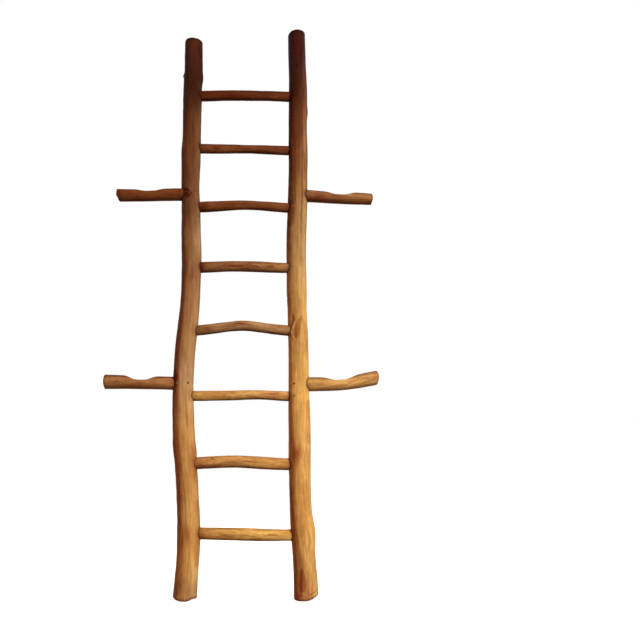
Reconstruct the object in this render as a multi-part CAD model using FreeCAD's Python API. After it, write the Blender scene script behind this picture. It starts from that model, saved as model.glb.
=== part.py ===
import FreeCAD, Part
import math
import os

# Clothes ladder made of debarked teak branches: two poles, eight rungs and four notched
# coat pegs, held by round tenons in blind mortises and locked by small wooden dowels.
# The frame stands the ladder upright. The origin is on the floor, midway between the
# tips of the pegs. X runs from the left pole to the right one, Y runs back towards the
# wall that the ladder leans on, and Z runs up the poles. Lengths are in millimetres.

# Poles
left_pole_length = 1857.0
right_pole_length = 1884.0
pole_diameter = 66.0
pole_spacing = 352.0            # between the two straight lines that the poles wander about
pole_shift = 12.2               # moves both poles along X, to level the peg tips about the origin
pole_rim = 4.0                  # worn bevel round each end cut

# Rungs
rung_count = 8
lowest_rung_height = 182.0
rung_pitch = 208.8
rung_diameter = 34.0
rung_tenon_diameter = 24.0
rung_tenon_past_centre = 6.0    # how far a rung tenon runs past the pole's middle

# Coat pegs
upper_peg_height = 1270.0
lower_peg_height = 636.0
peg_diameter = 43.0
peg_reach = 250.0               # from the pole's middle to the tip
peg_rim = 2.5                   # bevel round the tip
peg_tenon_diameter = 30.0
peg_tenon_past_centre = 25.0
notch_floor_length = 40.0
notch_ramp_length = 28.0
notch_corner_radius = 20.0

# Fits in the mortises
tenon_clearance = 0.15          # glue line round a tenon
tenon_end_gap = 1.5             # room left at the bottom of a blind mortise

# Locking dowels, driven in from the front
dowel_diameter = 7.0
dowel_clearance = 0.03
dowel_past_centre = 20.0        # how far a dowel runs past the pole's middle, towards the back
rung_dowel_offset = 17.0        # from the pole's middle line towards the rung
peg_dowel_offset = 17.0         # each side of the pole's middle line
overrun = 10.0                  # how far a cutter runs past the wood

# How far a section leaves a true ellipse, and how it turns as it goes along the branch
oval_share = 0.022
lobe_share = 0.012
pole_turns_share = 1.3
rung_turns_share = 0.4
section_points = 16

# Pole stations, bottom to top: share of the pole's length, then shares of the pole's
# diameter: how far its middle lies outwards of its line, how far back, and how thick it is.
left_pole_shares = [
    (0.000, 0.060, 0.00, 1.070),
    (0.030, 0.020, 0.02, 1.045),
    (0.060, -0.035, 0.04, 1.030),
    (0.090, -0.055, 0.06, 1.050),
    (0.120, -0.030, 0.08, 1.030),
    (0.155, 0.030, 0.10, 1.015),
    (0.200, 0.120, 0.11, 1.015),
    (0.250, 0.245, 0.10, 1.020),
    (0.300, 0.315, 0.08, 1.005),
    (0.350, 0.330, 0.05, 0.990),
    (0.410, 0.250, 0.01, 1.010),
    (0.460, 0.125, -0.03, 0.985),
    (0.500, 0.060, -0.07, 0.975),
    (0.550, 0.040, -0.09, 0.990),
    (0.600, 0.075, -0.11, 0.985),
    (0.650, 0.110, -0.11, 0.950),
    (0.700, 0.155, -0.09, 0.935),
    (0.750, 0.160, -0.05, 0.965),
    (0.800, 0.160, -0.01, 0.940),
    (0.860, 0.160, 0.04, 0.970),
    (0.910, 0.155, 0.08, 0.985),
    (0.955, 0.140, 0.10, 0.945),
    (1.000, 0.140, 0.11, 0.935),
]
right_pole_shares = [
    (0.000, 0.020, 0.00, 1.090),
    (0.030, 0.010, -0.02, 1.065),
    (0.060, -0.030, -0.035, 1.045),
    (0.085, -0.060, -0.05, 1.090),
    (0.105, -0.090, -0.055, 1.105),
    (0.130, -0.150, -0.07, 1.030),
    (0.165, -0.180, -0.08, 1.000),
    (0.210, -0.175, -0.075, 1.025),
    (0.260, -0.165, -0.07, 1.025),
    (0.300, -0.165, -0.04, 1.020),
    (0.350, -0.145, 0.00, 0.980),
    (0.410, -0.135, 0.05, 0.965),
    (0.460, -0.150, 0.08, 0.950),
    (0.500, -0.160, 0.10, 0.960),
    (0.550, -0.150, 0.11, 0.960),
    (0.600, -0.135, 0.10, 0.975),
    (0.650, -0.065, 0.07, 0.970),
    (0.700, -0.005, 0.03, 0.960),
    (0.750, 0.015, -0.01, 0.960),
    (0.800, 0.040, -0.04, 0.955),
    (0.850, 0.070, -0.05, 0.975),
    (0.900, 0.080, -0.05, 0.955),
    (0.950, 0.065, -0.02, 0.940),
    (1.000, 0.055, 0.02, 0.930),
]
# Slope of each top cut, as rise over width from left to right. The feet are cut square.
left_top_slope_share = -0.06
right_top_slope_share = 0.08

# Rungs, bottom to top, in shares of the rung's diameter: left end height, right end height,
# bow to the back, rises above the line between the ends, and thicknesses.
rise_stations_share = (0.0, 0.17, 0.34, 0.50, 0.66, 0.83, 1.0)
rung_shares = [
    (0.12, -0.03, 0.05, (0, -0.02, -0.04, -0.04, -0.04, -0.02, 0),
     (1.02, 1.02, 1.04, 1.05, 0.98, 0.94, 0.94)),
    (-0.05, -0.10, -0.08, (0, 0.11, 0.21, 0.21, 0.13, 0.05, 0),
     (1.06, 1.06, 1.08, 1.10, 1.09, 1.04, 1.03)),
    (-0.05, -0.14, 0.07, (0, 0.02, 0.05, 0.10, 0.14, 0.06, 0),
     (0.92, 0.91, 0.90, 0.90, 0.84, 0.87, 0.88)),
    (-0.14, -0.12, -0.10, (0, 0.16, 0.38, 0.53, 0.37, 0.16, 0),
     (0.95, 0.95, 0.94, 0.97, 0.97, 0.99, 0.99)),
    (-0.06, -0.02, 0.06, (0, 0.07, 0.16, 0.19, 0.14, 0.05, 0),
     (1.04, 1.04, 1.02, 1.03, 1.07, 1.02, 1.00)),
    (-0.05, -0.04, -0.05, (0, 0.08, 0.18, 0.27, 0.22, 0.10, 0),
     (1.06, 1.05, 0.99, 0.95, 0.93, 0.98, 0.99)),
    (0.17, -0.09, 0.08, (0, 0.02, 0.06, 0.10, 0.11, 0.04, 0),
     (0.94, 0.97, 0.93, 0.87, 0.89, 0.93, 0.94)),
    (-0.06, -0.31, -0.06, (0, 0.05, 0.09, 0.11, 0.10, 0.05, 0),
     (1.08, 1.08, 1.07, 1.05, 1.01, 0.99, 0.99)),
]

# Pegs, in shares of the peg's diameter: height at the pole, rises on the way to the tip,
# thicknesses, and how deep the hanger notch is. The last is where the notch's middle lies,
# as a share of the peg's reach.
peg_stations_share = (0.0, 0.25, 0.50, 0.75, 1.0)
peg_shares = {
    "upper_left_peg": (-0.01, (0, 0, -0.02, -0.04, -0.05), (1.00, 0.99, 0.98, 0.98, 0.98), 0.27, 0.55),
    "upper_right_peg": (0.01, (0, -0.09, -0.17, -0.22, -0.31), (0.98, 0.96, 0.93, 0.96, 0.87), 0.33, 0.58),
    "lower_left_peg": (0.00, (0, 0.05, 0.09, 0.13, 0.15), (0.98, 0.99, 1.00, 1.02, 1.04), 0.33, 0.54),
    "lower_right_peg": (-0.07, (0, 0.02, 0.07, 0.25, 0.52), (1.10, 1.05, 1.03, 1.03, 1.03), 0.27, 0.53),
}

left_side = -1
right_side = 1


def point_between(stations, share):
    """Linear reading of a table whose rows start with their own share of the way."""
    for low, high in zip(stations, stations[1:]):
        if share <= high[0]:
            break
    way = (share - low[0]) / (high[0] - low[0])
    return [a + (b - a) * way for a, b in zip(low, high)]


def ring(centre, across, upward, half_width, half_thickness, phase, slope=0.0):
    """Closed smooth curve round a point of a branch: an ellipse with two and three soft
    lobes. Across and upward are the two directions that the section spans, and slope
    tips it along the branch."""
    along = across.cross(upward)
    points = []
    for step in range(section_points):
        turn = 2 * math.pi * step / section_points
        swell = 1 + oval_share * math.cos(2 * turn - phase) + lobe_share * math.cos(3 * turn + 2 * phase)
        a = half_width * swell * math.cos(turn)
        b = half_thickness * swell * math.sin(turn)
        points.append(centre + across * a + upward * b + along * (a * slope))
    ways = [step / section_points for step in range(section_points + 1)]
    curve = Part.BSplineCurve()
    curve.interpolate(Points=points, PeriodicFlag=True, Parameters=ways)
    return Part.Wire(curve.toShape())


def branch(wires, first_rim=None, last_rim=None):
    """Solid through the given sections, with a straight bevel added at an end where a
    smaller rim section is given."""
    solid = Part.makeLoft(wires, True, False)
    if first_rim is not None:
        solid = solid.fuse(Part.makeLoft([first_rim, wires[0]], True, True))
    if last_rim is not None:
        solid = solid.fuse(Part.makeLoft([wires[-1], last_rim], True, True))
    return solid.removeSplitter()


class Pole:
    """One of the two upright branches."""

    def __init__(self, side, length, stations, top_slope):
        self.side = side
        self.length = length
        self.stations = stations
        self.top_slope = top_slope
        self.blank = self.make_blank()

    def place(self, out_share):
        """X of a point that lies a share of the pole's diameter outside of the pole's line."""
        return pole_shift + self.side * (pole_spacing / 2 + out_share * pole_diameter)

    def centre(self, height):
        """Middle of the pole at a height."""
        share, out, back, thick = point_between(self.stations, height / self.length)
        return FreeCAD.Vector(self.place(out), back * pole_diameter, height)

    def section(self, station, height, shrink=0.0, slope=0.0):
        share, out, back, thick = station
        radius = thick * pole_diameter / 2 - shrink
        phase = 2 * math.pi * pole_turns_share * share + self.side
        centre = FreeCAD.Vector(self.place(out), back * pole_diameter, height)
        return ring(centre, FreeCAD.Vector(1, 0, 0), FreeCAD.Vector(0, 1, 0), radius, radius, phase, slope)

    def make_blank(self):
        """The shaped pole before it is drilled. The foot is square and the top cut slopes."""
        heights = [station[0] * self.length for station in self.stations]
        heights[0] = pole_rim
        heights[-1] = self.length - pole_rim
        slopes = [0.0] * len(heights)
        slopes[-1] = self.top_slope
        wires = [self.section(*each) for each in zip(
            self.stations, heights, [0.0] * len(heights), slopes)]
        foot = self.section(self.stations[0], 0.0, pole_rim)
        top = self.section(self.stations[-1], self.length, pole_rim, self.top_slope)
        return branch(wires, foot, top)


def rod(start, end, diameter):
    """Round bar between two points."""
    return Part.makeCylinder(diameter / 2, (end - start).Length, start, end - start)


class Joint:
    """One tenon in its mortise, with its locking dowels. The mortise opens towards the
    given side of the pole, and the tenon runs past the pole's middle by a set distance.
    The tenon's other end runs a little into the rung or peg that it belongs to."""

    def __init__(self, pole, height, opening, diameter, past_centre, dowel_offsets):
        middle = pole.centre(height)
        outward = FreeCAD.Vector(opening, 0, 0)
        mouth = middle + outward * (pole_diameter / 2 + overrun)
        self.pole = pole
        self.tenon = rod(mouth, middle - outward * past_centre, diameter)
        self.mortise = rod(
            mouth, middle - outward * (past_centre + tenon_end_gap), diameter + 2 * tenon_clearance)
        self.dowels = []
        self.dowel_holes = []
        for offset in dowel_offsets:
            front = middle + outward * offset + FreeCAD.Vector(0, -pole_diameter / 2 - overrun, 0)
            back = middle + outward * offset + FreeCAD.Vector(0, dowel_past_centre, 0)
            self.dowels.append(rod(front, back, dowel_diameter))
            self.dowel_holes.append(rod(front, back, dowel_diameter + 2 * dowel_clearance))


def with_tenons(body, joints):
    """Scribes the ends of a rung or peg to the poles and adds the tenons."""
    scribed = body.cut([joint.pole.blank for joint in joints])
    tenons = [joint.tenon.cut(joint.dowel_holes) for joint in joints]
    return scribed.fuse(tenons).removeSplitter()


def make_rung(number, left, right, shares):
    """A rung from pole to pole, with its joint at each end."""
    left_share, right_share, back_share, rises, thicknesses = shares
    height = lowest_rung_height + number * rung_pitch
    left_height = height + left_share * rung_diameter
    right_height = height + right_share * rung_diameter
    start = left.centre(left_height)
    end = right.centre(right_height)
    wires = []
    for share, rise, thickness in zip(rise_stations_share, rises, thicknesses):
        back = 4 * share * (1 - share) * back_share * rung_diameter
        centre = start + (end - start) * share
        centre += FreeCAD.Vector(0, back, rise * rung_diameter)
        radius = thickness * rung_diameter / 2
        phase = 2 * math.pi * rung_turns_share * share + number
        wires.append(ring(
            centre, FreeCAD.Vector(0, 1, 0), FreeCAD.Vector(0, 0, 1), radius, radius, phase))
    joints = [
        Joint(
            pole, end_height, -pole.side, rung_tenon_diameter, rung_tenon_past_centre,
            [rung_dowel_offset])
        for pole, end_height in ((left, left_height), (right, right_height))]
    return with_tenons(branch(wires), joints), joints


def notch_cutter(depth, top, tilt, side):
    """Saddle that a hanger hook sits in: a flat floor between two ramps, with its corners
    rounded, run right across the peg."""
    rise = depth + overrun
    widen = notch_ramp_length * rise / depth
    half_floor = notch_floor_length / 2
    corners = [
        (-half_floor - widen, rise - depth),
        (-half_floor, -depth),
        (half_floor, -depth),
        (half_floor + widen, rise - depth),
    ]
    points = [FreeCAD.Vector(x, -peg_diameter, z) for x, z in corners]
    face = Part.Face(Part.makePolygon(points + points[:1]))
    block = face.extrude(FreeCAD.Vector(0, 2 * peg_diameter, 0))
    floor_edges = [
        edge for edge in block.Edges
        if abs(edge.tangentAt(edge.FirstParameter).y) > 0.5
        and abs(edge.CenterOfMass.z + depth) < overrun / 1000]
    block = block.makeFillet(notch_corner_radius, floor_edges)
    block.rotate(FreeCAD.Vector(), FreeCAD.Vector(0, 1, 0), -side * tilt)
    block.translate(top)
    return block


def make_peg(height, pole, shares):
    """A coat peg that sticks out sideways from a pole, with its notch on top."""
    height_share, rises, thicknesses, notch_depth_share, notch_place_share = shares
    root_height = height + height_share * peg_diameter
    root = pole.centre(root_height)
    side = pole.side

    def section(share, rise, thickness, reach, shrink=0.0):
        centre = root + FreeCAD.Vector(side * reach, 0, rise * peg_diameter)
        radius = thickness * peg_diameter / 2 - shrink
        phase = 2 * math.pi * rung_turns_share * share + height_share
        return ring(centre, FreeCAD.Vector(0, 1, 0), FreeCAD.Vector(0, 0, 1), radius, radius, phase)

    rows = list(zip(peg_stations_share, rises, thicknesses))
    reaches = [row[0] * peg_reach for row in rows]
    reaches[-1] = peg_reach - peg_rim
    wires = [section(*row, reach) for row, reach in zip(rows, reaches)]
    body = branch(wires, None, section(*rows[-1], peg_reach, peg_rim))

    half_floor_share = notch_floor_length / 2 / peg_reach
    before = point_between(rows, notch_place_share - half_floor_share)
    here = point_between(rows, notch_place_share)
    after = point_between(rows, notch_place_share + half_floor_share)
    tilt = math.degrees(math.atan2((after[1] - before[1]) * peg_diameter, notch_floor_length))
    top = root + FreeCAD.Vector(
        side * notch_place_share * peg_reach, 0, (here[1] + here[2] / 2) * peg_diameter)
    body = body.cut(notch_cutter(notch_depth_share * peg_diameter, top, tilt, side))

    joint = Joint(
        pole, root_height, side, peg_tenon_diameter, peg_tenon_past_centre,
        [-peg_dowel_offset, peg_dowel_offset])
    return with_tenons(body, [joint]), joint


def save(name, shape):
    shape.exportStep("parts/" + name + ".step")


def main():
    os.makedirs("parts", exist_ok=True)
    left = Pole(left_side, left_pole_length, left_pole_shares, left_top_slope_share)
    right = Pole(right_side, right_pole_length, right_pole_shares, right_top_slope_share)
    rung_joints = []
    peg_joints = []

    for number, shares in enumerate(rung_shares[:rung_count]):
        rung, joints = make_rung(number, left, right, shares)
        save("rung_" + str(number + 1), rung)
        rung_joints += joints

    for name, shares in peg_shares.items():
        pole = left if "left" in name else right
        height = upper_peg_height if "upper" in name else lower_peg_height
        peg, joint = make_peg(height, pole, shares)
        save(name, peg)
        peg_joints.append(joint)

    for name, pole in (("left", left), ("right", right)):
        cuts = []
        for kind, joints in (("rung", rung_joints), ("peg", peg_joints)):
            here = [joint for joint in joints if joint.pole is pole]
            cuts += [joint.mortise for joint in here]
            cuts += [hole for joint in here for hole in joint.dowel_holes]
            dowels = Part.makeCompound([dowel for joint in here for dowel in joint.dowels])
            save(name + "_" + kind + "_dowels", dowels.common(pole.blank))
        save(name + "_pole", pole.blank.cut(cuts))


main()
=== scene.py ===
import bpy
import math
import numpy as np
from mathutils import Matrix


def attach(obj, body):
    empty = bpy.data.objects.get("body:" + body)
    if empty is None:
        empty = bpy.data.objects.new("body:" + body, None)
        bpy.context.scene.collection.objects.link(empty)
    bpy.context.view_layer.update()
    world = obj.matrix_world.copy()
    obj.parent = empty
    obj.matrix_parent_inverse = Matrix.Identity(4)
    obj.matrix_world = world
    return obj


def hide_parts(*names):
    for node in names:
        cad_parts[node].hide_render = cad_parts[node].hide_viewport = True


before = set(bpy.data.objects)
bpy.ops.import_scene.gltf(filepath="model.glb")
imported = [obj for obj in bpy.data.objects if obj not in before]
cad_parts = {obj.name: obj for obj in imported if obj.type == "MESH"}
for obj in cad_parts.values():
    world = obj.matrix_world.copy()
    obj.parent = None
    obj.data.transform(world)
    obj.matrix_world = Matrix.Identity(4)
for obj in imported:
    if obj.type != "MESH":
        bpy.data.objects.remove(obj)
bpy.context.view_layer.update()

# Clothes ladder of debarked teak branches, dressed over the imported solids.
# Lengths are in metres, and millimetres where a table says so. The ladder stands upright and
# the camera looks along +Y.

# Camera fitted to the photograph
photoView = {
    "imageSide": 640,        # pixels
    "axisPixel": 246,        # column of the picture that the lens points at
    "focalPixels": 640,
    "sensor": 36,            # millimetres, as is the lens
    "distance": 2.0141,
    "height": 0.4024,
    "pitch": 12.293,         # degrees upwards
    "sideways": 0.0122,
}


# Lens: the sensor's width times the focal length over the picture's side, both in pixels.
# Shift: the way from the lens's column to the picture's middle, in shares of its side
def buildCamera():
    side = photoView["imageSide"]
    data = bpy.data.cameras.new("photoCamera")
    data.sensor_width = photoView["sensor"]
    data.lens = photoView["sensor"] * photoView["focalPixels"] / side
    data.shift_x = (side / 2 - photoView["axisPixel"]) / side
    camera = bpy.data.objects.new("photoCamera", data)
    camera.location = (photoView["sideways"], -photoView["distance"], photoView["height"])
    camera.rotation_euler = (math.radians(90 + photoView["pitch"]), 0, 0)
    bpy.context.scene.collection.objects.link(camera)
    bpy.context.scene.camera = camera


# Smooth curve through given values: the second derivatives of a natural cubic spline come
# from one linear system, and each place is read from the cubic between its two neighbours
def throughPoints(knots, values, at):
    knots = np.asarray(knots, float)
    values = np.asarray(values, float)
    step = np.diff(knots)
    count = len(knots)
    system = np.eye(count)
    right = np.zeros(values.shape)
    inner = np.arange(1, count - 1)
    system[inner, inner - 1] = step[:-1]
    system[inner, inner] = 2 * (step[:-1] + step[1:])
    system[inner, inner + 1] = step[1:]
    slope = (np.diff(values, axis=0).T / step).T
    right[1:-1] = 6 * (slope[1:] - slope[:-1])
    bend = np.linalg.solve(system, right)
    at = np.clip(np.asarray(at, float), knots[0], knots[-1])
    low = np.clip(np.searchsorted(knots, at, side="right") - 1, 0, count - 2)
    wide = step[low]
    a = (knots[low + 1] - at) / wide
    b = (at - knots[low]) / wide
    if values.ndim > 1:
        a, b, wide = a[..., None], b[..., None], wide[..., None]
    return (a * values[low] + b * values[low + 1]
            + ((a ** 3 - a) * bend[low] + (b ** 3 - b) * bend[low + 1]) * wide ** 2 / 6)


# Angles of the columns of a grid that closes round a branch: equal shares of a full turn
def fullTurn(columns):
    return np.arange(columns) / columns * 2 * math.pi


# Half of a chord: the square root of the radius squared less the chord's distance squared
def halfChord(radius, distance):
    return np.sqrt(np.maximum(radius ** 2 - distance ** 2, 1e-8))


# Soft unevenness of a debarked branch
rippleShape = {
    "waves": 26,
    "lengths": (0.035, 0.32),    # shortest and longest wave
    "folds": 7,                  # each wave has fewer turns round the branch than this
    "fullFrom": 0.16,            # length from which a wave has its full height
    "least": 0.35,               # share of the height that no wave goes under for its length
    "perFold": 0.25,             # what each turn takes off the height
}


# A sum of sine waves along the branch, each with a whole number of turns round it, so that
# the surface meets itself
def ripples(along, turn, seed, size):
    dice = np.random.default_rng(seed)
    total = np.zeros(np.broadcast(along, turn).shape)
    least = rippleShape["least"]
    for wave in range(rippleShape["waves"]):
        length = dice.uniform(*rippleShape["lengths"])
        folds = int(dice.integers(0, rippleShape["folds"]))
        phase = dice.uniform(0, 2 * math.pi)
        height = size * (least + (1 - least) * min(1.0, length / rippleShape["fullFrom"]))
        height = height / (1 + rippleShape["perFold"] * folds)
        total = total + height * np.sin(2 * math.pi * along / length + folds * turn + phase)
    return total / math.sqrt(rippleShape["waves"])


# Painted light and shade: painted shade along both flanks of the poles, along the tops of rungs and
# pegs, and on their undersides and bellies, and a painted highlight along a strip of each pole on
# its lit side. Place, reach and fade are degrees
paintedLight = {
    "flank": {"place": 96, "reach": 23, "fade": 20, "strength": 0.40},
    "otherFlankShade": {"place": -99, "reach": 21, "fade": 20, "strength": 0.34},
    "paintedHighlight": {"place": 54, "reach": 16, "fade": 34, "strength": 0.36},
    "crown": {"place": 100, "reach": 42, "fade": 26, "strength": 0.40},
    "undersideShade": {"place": -110, "reach": 45, "fade": 40, "strength": 0.07},
    "belly": {"place": -96, "reach": 41, "fade": 20, "strength": 0.42},
}


# A band about its place: full strength near it, half of it at the reach, and a straight ramp
# as wide as the fade between. The reach can be made wider
def paintedLightBand(turn, kind, wider=0):
    band = paintedLight[kind]
    away = np.abs(np.angle(np.exp(1j * (turn - math.radians(band["place"])))))
    ramp = (math.radians(band["reach"] + wider) - away) / math.radians(band["fade"]) + 0.5
    return band["strength"] * np.clip(ramp, 0, 1)


# Section of a branch
branchSection = {"oval": 0.022, "lobe": 0.012}


# How far a section leaves its circle: one, plus the oval times the cosine of twice the angle,
# plus the lobe times the cosine of three times it
def sectionSwing(angle, phase):
    return (1 + branchSection["oval"] * np.cos(2 * angle - phase)
            + branchSection["lobe"] * np.cos(3 * angle + 2 * phase))


millimetre = 0.001


# Knots: a bell curve of the distance from the knot's middle, in shares of its own length and
# width. Each row holds place along the branch, turn in degrees, length, width and swelling in
# millimetres, stain and paleness
def knotFields(along, turn, radius, knots):
    fields = np.zeros((3,) + np.broadcast(along, turn).shape)
    for place, where, length, width, swelling, stain, pale in knots:
        across = np.angle(np.exp(1j * (turn - math.radians(where)))) * radius
        away = ((along - place) / length) ** 2 + (across / width) ** 2
        near = np.exp(-away / millimetre ** 2)
        fields += np.stack([swelling * millimetre * near, stain * near, pale * near])
    return fields


# Strokes are drawn marks with a firm edge: scored, which can swell out or cut in, stain and
# bleach, or only stained or faded. Each runs through points of place, turn in degrees and
# half width. Swelling, half width and the edge's width are in millimetres
def scored(swelling, stain, pale, edge, *points):
    run = [(place, turn, half * millimetre) for place, turn, half in points]
    return run, edge * millimetre, (swelling * millimetre, stain, pale)


# Stroke with stain alone
def stained(strength, edge, *points):
    return scored(0, strength, 0, edge, *points)


# Stroke with paleness alone
def faded(strength, edge, *points):
    return scored(0, 0, strength, edge, *points)


# A stroke covers what lies nearer to its run of points than the half width there: what is
# left of the half width, over the edge's width, goes through a smooth ramp
def strokeFields(along, turn, radius, strokes):
    shape = np.broadcast(along, turn).shape
    fields = np.zeros((3,) + shape)
    for points, edge, amounts in strokes:
        inside = np.full(shape, -1.0)
        for (p0, w0, h0), (p1, w1, h1) in zip(points, points[1:]):
            across = np.angle(np.exp(1j * (turn - math.radians(w0)))) * radius
            run = np.array([p1 - p0, math.radians(w1 - w0) * radius])
            way = np.clip(((along - p0) * run[0] + across * run[1]) / run.dot(run), 0, 1)
            gap = np.hypot(along - p0 - way * run[0], across - way * run[1])
            inside = np.maximum(inside, h0 + (h1 - h0) * way - gap)
        cover = np.clip(inside / edge + 0.5, 0, 1)
        cover = cover * cover * (3 - 2 * cover)
        fields += np.array(amounts).reshape(3, *[1] * len(shape)) * cover
    return fields


# All marks of a branch: its knots' fields plus its strokes'
def markFields(along, turn, radius, spec):
    return (knotFields(along, turn, radius, spec["knots"])
            + strokeFields(along, turn, radius, spec["strokes"]))


# Degrees between two faces from which the edge between them shows
sharpFrom = 42


# Closed mesh from a grid of points: rows run along the branch, columns close round it, and
# each end is closed by a fan round its middle. Each row belongs to a material slot
def gridMesh(name, points, fields, slots, flip=False):
    rows, columns = points.shape[:2]
    middles = np.stack([points[0].mean(axis=0), points[-1].mean(axis=0)])
    vertices = np.concatenate([points.reshape(-1, 3), middles])
    index = np.arange(rows * columns).reshape(rows, columns)
    after = np.roll(index, -1, axis=1)
    quads = np.stack([index[:-1], after[:-1], after[1:], index[1:]], axis=-1).reshape(-1, 4)
    first = np.stack([np.full(columns, rows * columns), after[0], index[0]], axis=-1)
    last = np.stack([np.full(columns, rows * columns + 1), index[-1], after[-1]], axis=-1)
    if flip:
        quads, first, last = quads[:, ::-1], first[:, ::-1], last[:, ::-1]
    mesh = bpy.data.meshes.new(name)
    mesh.from_pydata(vertices.tolist(), [], quads.tolist() + first.tolist() + last.tolist())
    faceSlots = np.repeat(np.concatenate([slots[:-1], slots[:1], slots[-1:]]), columns)
    mesh.polygons.foreach_set("material_index", faceSlots.astype(np.int32))
    for label, values in fields.items():
        ends = np.stack([values[0].mean(axis=0), values[-1].mean(axis=0)])
        data = np.concatenate([values.reshape(-1, *values.shape[2:]), ends]).astype(np.float32)
        kind, key = ("FLOAT_VECTOR", "vector") if values.ndim == 3 else ("FLOAT", "value")
        mesh.attributes.new(label, kind, "POINT").data.foreach_set(key, data.ravel())
    mesh.polygons.foreach_set("use_smooth", np.ones(len(mesh.polygons), bool))
    mesh.set_sharp_from_angle(angle=math.radians(sharpFrom))
    mesh.update()
    piece = bpy.data.objects.new(name, mesh)
    bpy.context.scene.collection.objects.link(piece)
    return piece


# Material slot of each row: 1, which is sawn, for so many at the start and the end, else 0
def sawnSlots(rows, first, last):
    slots = np.zeros(rows, int)
    slots[:first] = 1
    slots[rows - last:] = 1
    return slots


# Gives a piece its materials, the body it rides on and the node it replaces
def finishPiece(piece, node, materials):
    for material in materials:
        piece.data.materials.append(material)
    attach(piece, "root")
    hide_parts(node)


# Both poles, bottom to top. Stations: share of the length, middle outwards, middle backwards
# and thickness in shares of the pole's own thickness. Tones: height and how bright the wood
# is there beside the plain tone of that height. Top slope: rise of the sawn top towards +X.
# Foot lift: distance to the right of the middle and how far the worn foot is off the floor
# there. Turns are degrees from the front, rightwards
poleFamily = {
    "thickness": 0.066,
    "spacing": 0.352,
    "shift": 0.0122,
    "rim": 0.004,
    "turns": 1.3,            # how far the oval section turns on the way up
    "ripples": 0.00075,
    "sawMarks": 0.0002,
    "topCut": 0.12,          # the top's slope dies out over this length
    "footWear": 0.06,        # and the worn foot over this height
    # dark rims: worn at the top, and at the foot also painted contact shadow
    "darkRim": (0.007, 0.009),    # reach of the rubbed edges at foot and top
    "columns": 120,
    "rows": 620,
    "rimRows": 6,
    "faceRings": (0.15, 0.4, 0.65, 0.88),    # on the sawn ends, in shares of the radius
    "grainStart": 3,         # how far the grain's pattern is moved along, left or right
}
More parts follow.
